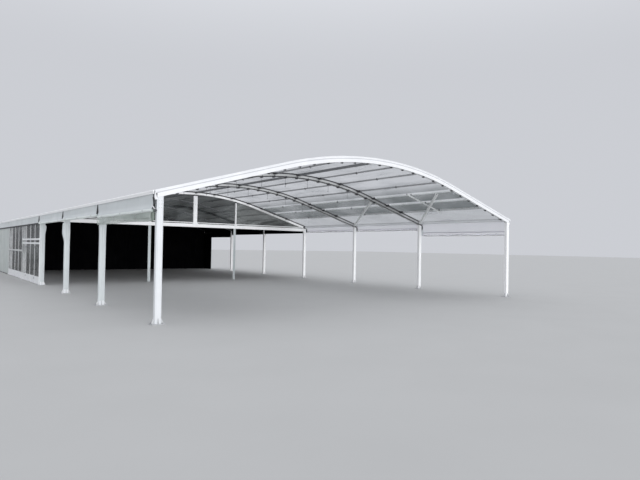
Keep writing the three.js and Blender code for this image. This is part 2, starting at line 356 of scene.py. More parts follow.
@dataclass(frozen=True)
class ClearVinyl:
    """Flexible clear sheet with streaks, haze and soft wrinkles."""

    name: str
    colour: Colour
    haze: Colour
    cover: tuple[float, float]
    streak: Sequence[float]
    slot: Slot = Slot.CLEAR_SHEET
    bend: float = 1.5
    tilt: float = 0.0
    soil: Soil | None = None

    def material(self) -> bpy.types.Material:
        """Builds the material.

        Returns:
            The material.
        """
        sketch = ShaderSketch(self.name)
        streaks = sketch.noise(sketch.place(self.streak, flat=True, tilt=self.tilt), 1.0, 6.0, 0.5)
        cloud = sketch.noise(sketch.place(flat=True), 0.55, 4.0, 0.4)
        ripple = sketch.noise(sketch.place((3.0, 0.7, 1.0), flat=True), 1.0, 5.0, 0.9)
        tint = sketch.blend(streaks, self.colour, self.haze)
        cover = sketch.calculate("MULTIPLY", sketch.spread(streaks, (0.40, 0.68), (0.45, 1.0)),
                                 sketch.spread(cloud, (0.35, 0.65), self.cover))
        # Painted shade: the lower slopes are tinted dark, except for strips of painted light along the purlins.
        if self.soil:
            dirt = self.soiled(sketch, cloud)
            tint = sketch.blend(sketch.spread(dirt, (0.0, 1.0), (0.0, self.soil.share)), tint, self.soil.colour)
            cover = sketch.calculate("MAXIMUM", cover, sketch.spread(dirt, (0.0, 1.0), (0.0, self.soil.cover)))
        sketch.set(Base_Color=tint, Alpha=cover, IOR=self.bend,
                   Roughness=sketch.spread(streaks, (0.3, 0.7), (0.06, 0.3)))
        sketch.relief([(ripple, 0.012), (streaks, 0.002)])
        return sketch.material

    def soiled(self, sketch: ShaderSketch, cloud: Socket) -> Socket:
        """How much painted shade darkens a roof sheet, which is most on its lower slopes and least in strips along the
        purlins.

        Args:
            sketch: The material.
            cloud: Noise that breaks the painted shade up.

        Returns:
            The painted shade's socket, from 0 to 1.
        """
        soil = self.soil
        parts = sketch.add("ShaderNodeSeparateXYZ", {"Vector": sketch.place(flat=True)})
        far = sketch.calculate("ABSOLUTE", sketch.calculate("SUBTRACT", parts.outputs["Y"], soil.ridge))
        patchy = sketch.calculate("MULTIPLY", sketch.spread(far, (soil.clean, soil.dirty)),
                                  sketch.spread(far, (soil.eave - soil.edge, soil.eave + soil.edge), (1.0, 0.48)))
        patchy = sketch.calculate("MULTIPLY", patchy, sketch.spread(cloud, (0.36, 0.62), (0.8, 1.0)))
        half = (soil.above + soil.below) / 2
        for bar in soil.bars:
            off = sketch.calculate("SUBTRACT", far, bar + (soil.below - soil.above) / 2)
            reach = (half - soil.edge, half + soil.edge)
            washed = sketch.spread(sketch.calculate("ABSOLUTE", off), reach, (soil.washed, 1.0))
            patchy = sketch.calculate("MULTIPLY", patchy, washed)
        return patchy


@dataclass(frozen=True)
class CoatedFabric:
    """Coated woven polyester: a fine weave, soft creases and faint dirt."""

    name: str
    colour: Colour
    dirt: Colour
    crease: float = 0.008
    fold: Sequence[float] = (0.9, 2.2, 1.0)
    slot: Slot = Slot.WHITE_FABRIC
    sheen: float = 0.15
    glow: float = 0.0
    shine: float = 0.5

    def material(self) -> bpy.types.Material:
        """Builds the material.

        Returns:
            The material.
        """
        sketch = ShaderSketch(self.name)
        creases = sketch.noise(sketch.place(self.fold, flat=True), 1.0, 5.0, 1.1)
        cloud = sketch.noise(sketch.place(), 0.8, 5.0, 0.5)
        drips = sketch.noise(sketch.place((6.0, 6.0, 0.35)), 1.0, 4.0)
        shade = sketch.blend(sketch.spread(cloud, (0.4, 0.75), (0.0, 0.7)), self.colour, self.dirt)
        soiled = sketch.blend(sketch.spread(drips, (0.55, 0.8), (0.0, 0.45)), shade, self.dirt)
        matt = (0.85, 1.0) if self.glow else (0.42, 0.62)
        sketch.set(Base_Color=soiled, Roughness=sketch.spread(cloud, (0.3, 0.7), matt), Sheen_Weight=self.sheen,
                   Sheen_Roughness=0.4, Transmission_Weight=self.glow, Specular_IOR_Level=self.shine)
        warp, weft = (sketch.wave(sketch.place(flat=True), 260.0, axis) for axis in "XY")
        sketch.relief([(creases, self.crease), (warp, 0.00012), (weft, 0.00012)])
        return sketch.material


@dataclass(frozen=True)
class Webbing:
    """Narrow woven strap with a ribbed face."""

    name: str
    colour: Colour
    thread: Colour
    slot: Slot = Slot.BLACK_WEBBING

    def material(self) -> bpy.types.Material:
        """Builds the material.

        Returns:
            The material.
        """
        sketch = ShaderSketch(self.name)
        ribs = sketch.wave(sketch.place(flat=True), 170.0, "Y")
        fuzz = sketch.noise(sketch.place(), 300.0, 2.0)
        sketch.set(Base_Color=sketch.blend(ribs, self.colour, self.thread), Roughness=0.8, Sheen_Weight=0.3)
        sketch.relief([(ribs, 0.0006), (fuzz, 0.0002)])
        return sketch.material


@dataclass(frozen=True)
class PlainGround:
    """Pale studio floor with a barely visible grain."""

    name: str
    colour: Colour
    grain: Colour

    def material(self) -> bpy.types.Material:
        """Builds the material.

        Returns:
            The material.
        """
        sketch = ShaderSketch(self.name)
        speckle = sketch.noise(sketch.place(), 0.6, 3.0)
        sketch.set(Base_Color=sketch.blend(speckle, self.colour, self.grain), Roughness=0.9)
        return sketch.material


Finish = PaintedMetal | DrawnAluminium | SteelFitting | ClearVinyl | CoatedFabric | Webbing | PlainGround

WHITE_PAINT = PaintedMetal("white paint", (0.84, 0.85, 0.865), (0.77, 0.78, 0.80))
# The white paint made brighter as painted light, for the gable, the right legs and the eave piping.
LIT_WHITE_PAINT = PaintedMetal("bright white paint", (0.96, 0.965, 0.97), (0.92, 0.925, 0.93))
# The white paint darkened as painted shade, for the left legs.
SHADED_LEG_PAINT = PaintedMetal("leg paint", (0.76, 0.78, 0.80), (0.70, 0.72, 0.74))
# Grey that paints the shade inside the rafters' groove.
GROOVE_SHADE_PAINT = PaintedMetal("groove paint", (0.60, 0.61, 0.64), (0.52, 0.53, 0.56), (0.5, 0.7))
GREY_ALUMINIUM = DrawnAluminium("grey aluminium", (0.60, 0.61, 0.61), (0.46, 0.47, 0.47))
# Aluminium darkened as painted shade on the crown purlins and in the grey rafters' groove; also the eave seals.
PURLIN_ALUMINIUM = DrawnAluminium("purlin aluminium", (0.46, 0.465, 0.475), (0.36, 0.365, 0.375), slot=Slot.GREY_BAR)
# Aluminium brightened as painted light, for the lower purlins and the braces.
LIT_PURLIN_ALUMINIUM = DrawnAluminium("pale purlin aluminium", (0.88, 0.90, 0.90), (0.78, 0.80, 0.80), 0.1, Slot.GREY_BAR)
# Aluminium darkened as painted shade, for the ridge bar and for the bars' halves in the opaque bays.
SHADED_RIDGE_ALUMINIUM = DrawnAluminium("ridge aluminium", (0.25, 0.255, 0.265), (0.18, 0.185, 0.195), slot=Slot.GREY_BAR)
# Aluminium darkened as painted shade, for the rafters of the opaque bays.
SHADED_RAFTER_ALUMINIUM = DrawnAluminium("dull aluminium", (0.14, 0.145, 0.15), (0.09, 0.095, 0.10))
# Near-black for real seals, gaskets and brackets, and also painted shade behind the flap gaps and under the left
# flaps.
DARK_SEAL_AND_SHADE = PaintedMetal("dark seal", (0.035, 0.035, 0.04), (0.06, 0.06, 0.065), (0.6, 0.8), Slot.BLACK_WEBBING)
DARK_STEEL = SteelFitting("dark steel", (0.045, 0.045, 0.05), (0.13, 0.13, 0.14))
PALE_STEEL = SteelFitting("galvanised steel", (0.42, 0.43, 0.44), (0.58, 0.59, 0.6))
# The clear roof carries painted shade on its lower slopes and painted light along its purlins.
CLEAR_ROOF = ClearVinyl("clear roof vinyl", (0.14, 0.17, 0.185), (0.62, 0.65, 0.70), (0.30, 0.62), (0.4, 1.5, 1.0),
                        bend=1.15, soil=Soil(8.19, 3.0, 4.6, 6.66, (4.47, 5.46)))
CLEAR_GABLE = ClearVinyl("clear gable vinyl", (0.20, 0.23, 0.25), (0.50, 0.53, 0.53), (0.04, 0.32), (0.7, 6.0, 1.0),
                         bend=1.2, tilt=17.0)
# The gable vinyl with lighter haze as painted light, for the pane right of the right post.
LIT_GABLE_VINYL = ClearVinyl("dull gable vinyl", (0.30, 0.33, 0.33), (0.66, 0.69, 0.68), (0.24, 0.56), (0.7, 6.0, 1.0),
                        bend=1.2, tilt=17.0)
WINDOW_GLAZING = ClearVinyl("window glazing", (0.045, 0.052, 0.052), (0.16, 0.175, 0.18), (0.44, 0.58),
                            (1.2, 0.5, 1.0), Slot.CLEAR_PANE)
GREEN_FILM = ClearVinyl("greenish film", (0.35, 0.405, 0.37), (0.44, 0.495, 0.455), (0.90, 1.0),
                        (0.3, 1.2, 1.0), Slot.BAG_FILM)
WHITE_CLOTH = CoatedFabric("white wall cloth", (0.61, 0.65, 0.66), (0.53, 0.56, 0.57))
# The left rolls' paler, greener cloth: partly their own cloth, partly painted light from below.
ROLL_CLOTH = CoatedFabric("rolled wall cloth", (0.90, 0.95, 0.935), (0.82, 0.87, 0.855), glow=0.2)
# A painted shade line along the top of the right rolls.
ROLL_SHADE_CLOTH = CoatedFabric("seam cloth", (0.66, 0.645, 0.70), (0.58, 0.57, 0.62))
SIDE_CLOTH = CoatedFabric("side wall cloth", (0.50, 0.535, 0.525), (0.40, 0.43, 0.42))
# The wall cloth brightened as painted light, for the right flaps.
LIT_WALL_CLOTH = CoatedFabric("bright wall cloth", (0.90, 0.90, 0.94), (0.82, 0.82, 0.86), glow=0.5)
# Brighter painted light for the underside of the right rolls.
LIT_ROLL_CLOTH = CoatedFabric("bright roll cloth", (0.96, 0.96, 0.98), (0.90, 0.90, 0.93), glow=0.65)
ROOF_CLOTH = CoatedFabric("white roof cloth", (0.74, 0.75, 0.77), (0.58, 0.59, 0.61), 0.02, (0.5, 1.6, 1.0),
                          Slot.WHITE_SHEET)
ROOF_LINER = CoatedFabric("grey roof underside", (0.23, 0.24, 0.24), (0.14, 0.145, 0.15), 0.035,
                          (0.55, 1.9, 1.0), Slot.WHITE_SHEET)
BLACK_DRAPE = CoatedFabric("black drape", (0.0015, 0.0015, 0.002), (0.004, 0.004, 0.0045), 0.01, (5.0, 0.4, 1.0),
                           Slot.DARK_LINING, sheen=0.0, shine=0.0)
WHITE_STRAP = Webbing("white strap", (0.72, 0.72, 0.73), (0.58, 0.58, 0.6))
FLOOR = PlainGround("pale floor", (0.46, 0.46, 0.455), (0.43, 0.43, 0.425))


@cache
def material_of(finish: Finish) -> bpy.types.Material:
    """Material of a finish, built on its first use."""
    return finish.material()


# Shapes


class Shape:
    """Points and faces of one piece, gathered before Blender gets them."""

    def __init__(self) -> None:
        """Starts with no point and no face."""
        self.points: list[Vector] = []
        self.flat: list[tuple[float, float]] = []
        self.faces: list[tuple[int, ...]] = []
        self.finish: list[int] = []

    def skin(self, rows: Sequence[Sequence[Vector]], closed: bool = False, caps: bool = False,
             finish: int | Callable[[int], int] = 0, lengths: Sequence[float] | None = None) -> None:
        """Stretches quads between rows of points.

        Args:
            rows: Rows with the same number of points.
            closed: True where each row is a ring.
            caps: True to close the first and the last ring.
            finish: Finish number, or a function that gives it for a column of quads.
            lengths: Distance of each row along the piece, for its flat coordinates.
        """
        count = len(rows[0])
        starts = range(len(self.points), len(self.points) + count * len(rows), count)
        along = lengths or running_lengths([row[0] for row in rows])
        across = running_lengths(rows[0])
        for row, u in zip(rows, along):
            self.points.extend(row)
            self.flat.extend((u, v) for v in across)
        columns = count if closed else count - 1
        for a, b in zip(starts, starts[1:]):
            for k in range(columns):
                n = (k + 1) % count
                self.faces.append((a + k, b + k, b + n, a + n))
                self.finish.append(finish(k) if callable(finish) else finish)
        if caps:
            number = finish(0) if callable(finish) else finish
            self.faces.append(tuple(range(starts[0], starts[0] + count)))
            self.faces.append(tuple(range(starts[-1] + count - 1, starts[-1] - 1, -1)))
            self.finish.extend([number, number])

    def block(self, centre: Sequence[float], size: Sequence[float], turn: Matrix | None = None,
              chamfer: float = 0.004, finish: int = 0) -> None:
        """Adds a box with all its edges chamfered.

        Args:
            centre: Middle of the box.
            size: Its lengths along X, Y and Z before it is turned.
            turn: Rotation about its middle.
            chamfer: Width of the chamfer.
            finish: Finish number.
        """
        hx, hy, hz = (length / 2 for length in size)
        c = min(chamfer, 0.45 * min(hx, hy, hz))
        rotation = turn or Matrix.Identity(3)
        rows = []
        for z, inset in ((-hz, c), (-hz + c, 0), (hz - c, 0), (hz, c)):
            x, y = hx - inset, hy - inset
            corners = [(x, y - c), (x - c, y), (c - x, y), (-x, y - c)]
            corners.extend([(-x, c - y), (c - x, -y), (x - c, -y), (x, c - y)])
            rows.append([Vector(centre) + rotation @ Vector((px, py, z)) for px, py in corners])
        self.skin(rows, closed=True, caps=True, finish=finish)

    def rod(self, path: Sequence[Vector], radius: float, sides: int = 8, finish: int = 0,
            closed: bool = False) -> None:
        """Adds a round bar along a line of points.

        Args:
            path: Points of its middle line.
            radius: Its radius.
            sides: Number of faces round it.
            finish: Finish number.
            closed: True for a ring.
        """
        rows = []
        side = None
        count = len(path)
        for i, point in enumerate(path):
            before = path[i - 1] if i or closed else path[i]
            after = path[(i + 1) % count] if i + 1 < count or closed else path[i]
            along = (after - before).normalized()
            if side is None:
                side = along.orthogonal().normalized()
            side = (side - along * side.dot(along)).normalized()
            up = along.cross(side)
            rows.append([point + (side * cos(a) + up * sin(a)) * radius for a in ring_angles(sides)])
        if closed:
            rows.append(rows[0])
        self.skin(rows, closed=True, caps=not closed, finish=finish)

    def stud(self, start: Vector, way: Sequence[float], radius: float) -> None:
        """Adds the short six-sided head of a bolt, from its root along a way."""
        self.rod([start, start + Vector(way)], radius, 6, finish=1)

    def build(self, name: str, finishes: Sequence[Finish], sharp: float = 32.0) -> bpy.types.Object:
        """Makes the Blender object, smooth but for edges sharper than an angle.

        Args:
            name: Name of the piece.
            finishes: Its finishes, in the order of the finish numbers.
            sharp: The angle in degrees.

        Returns:
            The new object.
        """
        mesh = bpy.data.meshes.new(name)
        mesh.from_pydata(self.points, [], self.faces)
        layer = mesh.uv_layers.new(name="flat")
        corners = [self.flat[loop.vertex_index] for loop in mesh.loops]
        layer.data.foreach_set("uv", [number for corner in corners for number in corner])
        for finish in finishes:
            mesh.materials.append(material_of(finish))
        mesh.polygons.foreach_set("material_index", self.finish)
        mesh.shade_smooth()
        mesh.set_sharp_from_angle(angle=radians(sharp))
        mesh.validate()
        made = bpy.data.objects.new(name, mesh)
        bpy.context.scene.collection.objects.link(made)
        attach(made, BODY)
        return made


def running_lengths(row: Sequence[Vector]) -> list[float]:
    """Distance of each point from the first one, along the row."""
    return list(accumulate(((b - a).length for a, b in zip(row, row[1:])), initial=0.0))


def mirrored_outline(half: Outline) -> Outline:
    """Closes a half outline, given from its top middle to its bottom middle, by its mirror image."""
    other = [(-y, d) for y, d in reversed(half) if abs(y) > 1e-9]
    return [*half, *other]


def steps(low: float, high: float, count: int) -> list[float]:
    """Evenly spaced values from low to high, with both ends."""
    return [low + (high - low) * i / (count - 1) for i in range(count)]


def ring_angles(count: int) -> list[float]:
    """Evenly spaced angles round a circle."""
    return [2 * pi * k / count for k in range(count)]


def smooth(t: float) -> float:
    """Smooth step from 0 to 1."""
    t = min(max(t, 0.0), 1.0)
    return t * t * (3 - 2 * t)


def wobble(x: float, y: float, seed: float) -> float:
    """Smooth noise from about -1 to 1."""
    return noise.noise(Vector((x, y, seed)))


# The tent's own lines


@dataclass(frozen=True)
class TentLines:
    """Where the rafters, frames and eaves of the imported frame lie."""

    crown: float = 5.132
    radius: float = 14.3
    pitch: float = radians(16.2)
    rafter_depth: float = 0.2
    bay: float = 5.0
    reach: float = 7.96
    crown_purlin_step: float = 1.16
    slope_purlin_step: float = 0.99

    @property
    def crown_arc(self) -> float:
        """Arc length from the crown to the straight part."""
        return self.radius * self.pitch

    @property
    def end(self) -> float:
        """Arc length from the crown to the rafter's end."""
        return self.crown_arc + (self.reach - self.radius * sin(self.pitch)) / cos(self.pitch)

    def angle(self, s: float) -> float:
        """Slope of the rafter at an arc length, positive on the right."""
        return copysign(min(abs(s), self.crown_arc) / self.radius, s)

    def point(self, s: float, y: float, depth: float = 0.0) -> Vector:
        """Point under the rafter's outer line.

        Args:
            s: Arc length from the crown, negative on the left.
            y: Place along the tent.
            depth: Distance under the outer line.

        Returns:
            The point.
        """
        angle = abs(self.angle(s))
        straight = max(abs(s) - self.crown_arc, 0.0)
        radius = self.radius - depth
        x = radius * sin(angle) + straight * cos(angle)
        z = self.crown - self.radius + radius * cos(angle) - straight * sin(angle)
        return Vector((copysign(x, s), y, z))

    def at_x(self, x: float, depth: float) -> float:
        """Height of the line at a depth under the outer line.

        Args:
            x: Place across the tent.
            depth: Distance under the outer line.

        Returns:
            The height.
        """
        radius = self.radius - depth
        bend = radius * sin(self.pitch)
        if abs(x) < bend:
            return self.crown - self.radius + sqrt(radius ** 2 - x ** 2)
        bend_z = self.crown - self.radius + radius * cos(self.pitch)
        return bend_z - (abs(x) - bend) * tan(self.pitch)

    def arc_at_x(self, x: float, depth: float) -> float:
        """Arc length of the point with a given X.

        Args:
            x: Place across the tent.
            depth: The point's distance under the outer line.

        Returns:
            The arc length.
        """
        low, high = 0.0, self.end + 0.2
        for _ in range(40):
            middle = (low + high) / 2
            if self.point(middle, 0, depth).x < abs(x):
                low = middle
            else:
                high = middle
        return copysign(low, x)

    def turn(self, s: float) -> Matrix:
        """Rotation that lays a piece's X along the rafter and its Z across it."""
        return Matrix.Rotation(self.angle(s), 3, "Y")

    def frame_y(self, number: int) -> float:
        """Y of a frame's middle, counted from 1 at the front."""
        return (number - 1 - (FRAME_COUNT - 1) / 2) * self.bay

    def is_grey(self, number: int) -> bool:
        """True for the bare aluminium frames, which are all but the gables."""
        return number not in WHITE_FRAMES

    def bars(self) -> list[float]:
        """Arc lengths of the purlins on the right side, which lie closer together on the straight slope."""
        crown = [i * self.crown_purlin_step for i in range(1, CROWN_PURLINS + 1)]
        return [*crown, *[crown[-1] + i * self.slope_purlin_step for i in range(1, SLOPE_PURLINS + 1)]]

    def share_between(self, s: float) -> float:
        """Place between the two bars beside an arc length, from 0 to 1."""
        lines = [0.0, *self.bars(), self.end]
        return next(((abs(s) - low) / (high - low) for low, high in zip(lines, lines[1:]) if abs(s) <= high), 1.0)


LINES = TentLines()


@dataclass
class Rafters:
    """Arched rafters: an extruded profile with tracks for the sheets and a groove along its faces."""

    half_width: float = 0.06
    groove: tuple[float, float] = (0.064, 0.090)
    station: float = 0.28
    corner: tuple[float, float, float] = (7.9225, 0.0225, 3.26)

    def outline(self) -> Outline:
        """Half of the cross-section.

        Returns:
            Distances from the middle plane and depths.
        """
        w = self.half_width
        top, low = self.groove
        return [
            (0.0, 0.004), (0.034, 0.004), (0.037, 0.0), (0.053, 0.0), (w, 0.006), (w, 0.015), (0.047, 0.016),
            (0.047, 0.034), (w, 0.036), (w, top), (0.052, top + 0.003), (0.052, low - 0.003), (w, low), (w, 0.150),
            (0.057, 0.153), (0.057, 0.158), (w, 0.161), (w, 0.180), (w, 0.194), (0.054, 0.2), (0.022, 0.2),
            (0.022, 0.191), (0.0, 0.191),
        ]

    def finish_of(self, frame: int, face: int) -> int:
        """Finish number of one face of the profile, with dark seals on the grey rafters.

        Args:
            frame: Number of the frame. The gable's is dark over the upper part of its side, and the last one is black
                inside the tent.
            face: The face's place in the outline.

        Returns:
            The finish number.
        """
        faces = 2 * len(self.outline()) - 2
        mirrored = min(face, faces - 1 - face)
        seals: Sequence[int] = ()
        if frame == CLEAR_BAYS + 1:
            seals = range(5, 12)
        elif LINES.is_grey(frame) and frame <= CLEAR_BAYS:
            seals = (5, 6, 7, 8, 16, 17, 18)
        if mirrored in seals or (frame == FRAME_COUNT and face >= faces // 2 and mirrored >= 4):
            return 2
        # Faces 9 to 11 line the groove and get its painted shade.
        return int(mirrored in (9, 10, 11))

    def build(self) -> None:
        """Builds all rafters in place of the plain ones."""
        outline = mirrored_outline(self.outline())
        count = 2 * round(LINES.end / self.station) + 1
        for number in range(1, FRAME_COUNT + 1):
            shape = Shape()
            y = LINES.frame_y(number)
            rows = [[LINES.point(s, y + dy, depth) for dy, depth in outline]
                    for s in steps(-LINES.end, LINES.end, count)]
            grey = LINES.is_grey(number)
            shape.skin(rows, closed=True, caps=True, finish=lambda face, frame=number: self.finish_of(frame, face))
            self.end_caps(shape, y)
            if number in (1, FRAME_COUNT):
                self.end_blocks(shape, y)
            # The gable frame's rafter gets the white paint with painted light.
            body = LIT_WHITE_PAINT if number == CLEAR_BAYS + 1 else WHITE_PAINT
            if grey:
                # Rafters of the opaque bays get aluminium darkened by painted shade.
                body = GREY_ALUMINIUM if number <= CLEAR_BAYS else SHADED_RAFTER_ALUMINIUM
            # The groove's finish is painted shade: grey paint on white rafters, darker aluminium on grey ones.
            groove = PURLIN_ALUMINIUM if grey else GROOVE_SHADE_PAINT
            made = shape.build(f"rafter_{number}", [body, groove, DARK_SEAL_AND_SHADE])
            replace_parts(made, f"arch_{number}")

    def end_blocks(self, shape: Shape, y: float) -> None:
        """Adds the white blocks that close the corners of the first and last frame beside the flaps.

        Args:
            shape: The rafter's shape.
            y: The frame's place along the tent.
        """
        x, out, z = self.corner
        for side in Side:
            shape.block((side.value * x, y + copysign(out, y), z), (0.065, 0.075, 0.18), chamfer=0.006)

    def end_caps(self, shape: Shape, y: float) -> None:
        """Closes both ends with a plate and two screws.

        Args:
            shape: The rafter's shape.
            y: The frame's place along the tent.
        """
        for sign in (-1, 1):
            turn = LINES.turn(sign * LINES.end)
            middle = LINES.point(sign * (LINES.end - 0.003), y, 0.1)
            shape.block(middle, (0.008, 0.118, 0.198), turn, 0.002)
            for depth in (0.06, 0.14):
                shape.block(LINES.point(sign * (LINES.end + 0.003), y, depth), (0.006, 0.02, 0.02), turn, 0.003)


@dataclass
class Legs:
    """Legs of the same profile, each on a foot plate with ribs and anchor bolts."""

    inner: float = 7.73
    outer: float = 7.9
    half_depth: float = 0.06
    plate: tuple[float, float, float] = (0.36, 0.26, 0.015)
    rib_height: float = 0.14
    joint: float = 3.06
    gusset_place: tuple[float, float] = (7.77, 3.335)

    def outline(self) -> Outline:
        """Closed cross-section round the leg's middle.

        Returns:
            X and Y of its points.
        """
        hx, hy = (self.outer - self.inner) / 2, self.half_depth
        quarter = [
            (hx, 0.0), (hx, 0.022), (hx - 0.004, 0.025), (hx - 0.004, 0.033), (hx, 0.036), (hx, hy - 0.006),
            (hx - 0.006, hy), (hx - 0.018, hy), (hx - 0.019, hy - 0.010), (hx - 0.036, hy - 0.010), (hx - 0.037, hy),
            (0.016, hy), (0.013, hy - 0.004), (0.0, hy - 0.004),
        ]
        top = [*quarter, *[(-x, y) for x, y in reversed(quarter[:-1])]]
        return [*top, *[(x, -y) for x, y in reversed(top[1:-1])]]

    def build(self) -> None:
        """Builds all legs in place of the plain ones."""
        for side in Side:
            for number in range(1, FRAME_COUNT + 1):
                shape = Shape()
                centre = side.value * (self.inner + self.outer) / 2
                y = LINES.frame_y(number)
                self.post(shape, centre, y)
                self.foot(shape, centre, y)
                self.head(shape, side, y)
                if 1 < number <= CLEAR_BAYS + 1:
                    self.gusset(shape, side, y)
                # Left legs get paint darkened by painted shade, right legs paint brightened by painted light.
                paint = SHADED_LEG_PAINT if side is Side.LEFT else LIT_WHITE_PAINT
                made = shape.build(f"leg_post_{side.label}_{number}", [paint, PALE_STEEL, DARK_STEEL])
                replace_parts(made, f"leg_{side.label}_{number}")

    def post(self, shape: Shape, centre: float, y: float) -> None:
        """Adds the upright with its sloped top.

        Args:
            shape: The leg's shape.
            centre: X of the leg's middle.
            y: The frame's place along the tent.
        """
        foot = self.plate[2]
        outline = self.outline()
        rows = []
        for share in (0.0, 0.03, 0.5, 0.97, 1.0):
            row = []
            for dx, dy in outline:
                x = centre + dx
                top = LINES.at_x(x, LINES.rafter_depth) - 0.001
                row.append(Vector((x, y + dy, foot + (top - foot) * share)))
            rows.append(row)
        shape.skin(rows, closed=True, caps=True)

    def foot(self, shape: Shape, centre: float, y: float) -> None:
        """Adds the foot plate, its ribs and its bolts.

        Args:
            shape: The leg's shape.
            centre: X of the leg's middle.
            y: The frame's place along the tent.
        """
        width, depth, thick = self.plate
        shape.block((centre, y, thick / 2), self.plate, chamfer=0.003, finish=1)
        for sx in (-1, 1):
            for sy in (-1, 1):
                self.bolt(shape, Vector((centre + sx * (width / 2 - 0.04), y + sy * (depth / 2 - 0.035), thick)))
            self.rib(shape, Vector((centre + sx * (self.outer - self.inner) / 2, y, thick)), Vector((sx, 0, 0)), 0.075)
        for sy in (-1, 1):
            self.rib(shape, Vector((centre, y + sy * self.half_depth, thick)), Vector((0, sy, 0)), 0.055)

    def rib(self, shape: Shape, root: Vector, out: Vector, reach: float) -> None:
        """Adds a triangular rib between the leg and its foot plate.

        Args:
            shape: The leg's shape.
            root: Where the leg's face meets the plate.
            out: Direction away from the leg.
            reach: How far the rib reaches out.
        """
        half = Vector((out.y, out.x, 0)) * 0.005
        top = Vector((0, 0, self.rib_height))
        low = Vector((0, 0, 0.02))
        side = [root, root + out * reach, root + out * reach + low, root + out * 0.02 + top, root + top]
        shape.skin([[p - half for p in side], [p + half for p in side]], closed=True, caps=True, finish=1)

    def bolt(self, shape: Shape, foot: Vector) -> None:
        """Adds an anchor bolt with washer and nut.

        Args:
            shape: The leg's shape.
            foot: Where the bolt stands on the plate.
        """
        for radius, low, high, sides in ((0.021, 0.0, 0.004, 16), (0.016, 0.004, 0.02, 6), (0.009, 0.02, 0.034, 10)):
            path = [foot + Vector((0, 0, low)), foot + Vector((0, 0, high))]
            shape.rod(path, radius, sides, finish=1)

    def head(self, shape: Shape, side: Side, y: float) -> None:
        """Adds the cover plates and bolts of the corner joint.

        Args:
            shape: The leg's shape.
            side: The leg's side.
            y: The frame's place along the tent.
        """
        centre = side.value * (self.inner + self.outer) / 2
        for sy in (-1, 1):
            face = y + sy * (self.half_depth + 0.002)
            shape.block((centre, face, self.joint), (0.10, 0.004, 0.26), chamfer=0.001)
            for dx in (-0.03, 0.03):
                for z in (2.97, self.joint, 3.15):
                    shape.stud(Vector((centre + dx, face, z)), (0, sy * 0.009, 0), 0.009)

    def gusset(self, shape: Shape, side: Side, y: float) -> None:
        """Adds the dark plates that join an inner frame's leg and rafter, with their bolts.

        Args:
            shape: The leg's shape.
            side: The leg's side.
            y: The frame's place along the tent.
        """
        turn = LINES.turn(side.value * LINES.end)
        x, z = self.gusset_place
        for sy in (-1, 1):
            face = y + sy * (self.half_depth + 0.004)
            middle = Vector((side.value * x, face, z))
            shape.block(middle, (0.22, 0.006, 0.15), turn, 0.002, finish=2)
            for dx, dz in ((-0.08, -0.04), (-0.08, 0.04), (0.08, -0.04), (0.08, 0.04)):
                shape.stud(middle + turn @ Vector((dx, 0, dz)), (0, sy * 0.012, 0), 0.010)


@dataclass
class RoofBars:
    """Purlins, ridge beam and eave beams with rounded edges and a groove."""

    top: float = 0.0283
    front: float = -14.9397
    joint: float = 0.001

    def outline(self, width: float, depth: float) -> Outline:
        """Half of a bar's cross-section.

        Args:
            width: The bar's size along the rafter.
            depth: Its size across the rafter.

        Returns:
            Distances from its middle and depths under its top.
        """
        half, r = width / 2, 0.006
        return [
            (0.0, 0.0), (half - r, 0.0), (half, r), (half, depth * 0.36), (half - 0.005, depth * 0.4),
            (half - 0.005, depth * 0.6), (half, depth * 0.64), (half, depth - r), (half - r, depth),
            (0.012, depth), (0.012, depth - 0.006), (0.0, depth - 0.006),
        ]

    def bar(self, name: str, node: str, s: float, width: float, depth: float, finish: Finish) -> None:
        """Builds one bar along the tent, darkened by painted shade in the opaque bays.

        Args:
            name: Name of the piece.
            node: The plain node that it replaces.
            s: Arc length of its middle.
            width: Its size along the rafter.
            depth: Its size across the rafter.
            finish: Its finish.
        """
        shape = Shape()
        outline = mirrored_outline(self.outline(width, depth))
        turn = LINES.turn(s)
        for number, (low, high) in enumerate(((self.front, -self.joint), (self.joint, -self.front))):
            rows = []
            for y in steps(low, high, 7):
                middle = LINES.point(s, y, self.top) if s else LINES.point(CROWN, y, self.top + 0.0013)
                rows.append([middle + turn @ Vector((dx, 0, -dz)) for dx, dz in outline])
            shape.skin(rows, closed=True, caps=True, finish=number)
        # The half in the opaque bays gets the aluminium with painted shade.
        made = shape.build(name, [finish, SHADED_RIDGE_ALUMINIUM])
        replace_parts(made, node)

    def build(self) -> None:
        """Builds all bars in place of the plain ones."""
        # The ridge bar is darkened by painted shade all along.
        self.bar("ridge_bar", "purlin_ridge", 0.0, 0.08, 0.088, SHADED_RIDGE_ALUMINIUM)
        for side in Side:
            for i, s in enumerate(LINES.bars(), start=1):
                # Crown purlins get aluminium darkened by painted shade, the lower ones aluminium brightened by painted
                # light.
                finish = PURLIN_ALUMINIUM if i <= CROWN_PURLINS else LIT_PURLIN_ALUMINIUM
                name = f"{side.label}_{i}"
                self.bar(f"purlin_bar_{name}", f"purlin_{name}", side.value * s, 0.05, 0.056, finish)
            self.bar(f"eave_bar_{side.label}", f"eave_beam_{side.label}", side.value * (LINES.end - 0.11), 0.07, 0.1,
                     WHITE_PAINT)
        for bay in range(1, CLEAR_BAYS + 1):
            self.eave_seals(bay)

    def eave_seals(self, bay: int) -> None:
        """Builds the dark seals between the clear sheet and the eave beams.

        Args:
            bay: The bay's number.
        """
        shape = Shape()
        middle = LINES.frame_y(bay) + LINES.bay / 2
        for side in Side:
            shape.block((side.value * 7.782, middle, 3.422), (0.012, LINES.bay - 0.14, 0.014),
                        LINES.turn(side.value * LINES.end), 0.003)
        shape.build(f"eave_seals_{bay}", [PURLIN_ALUMINIUM])


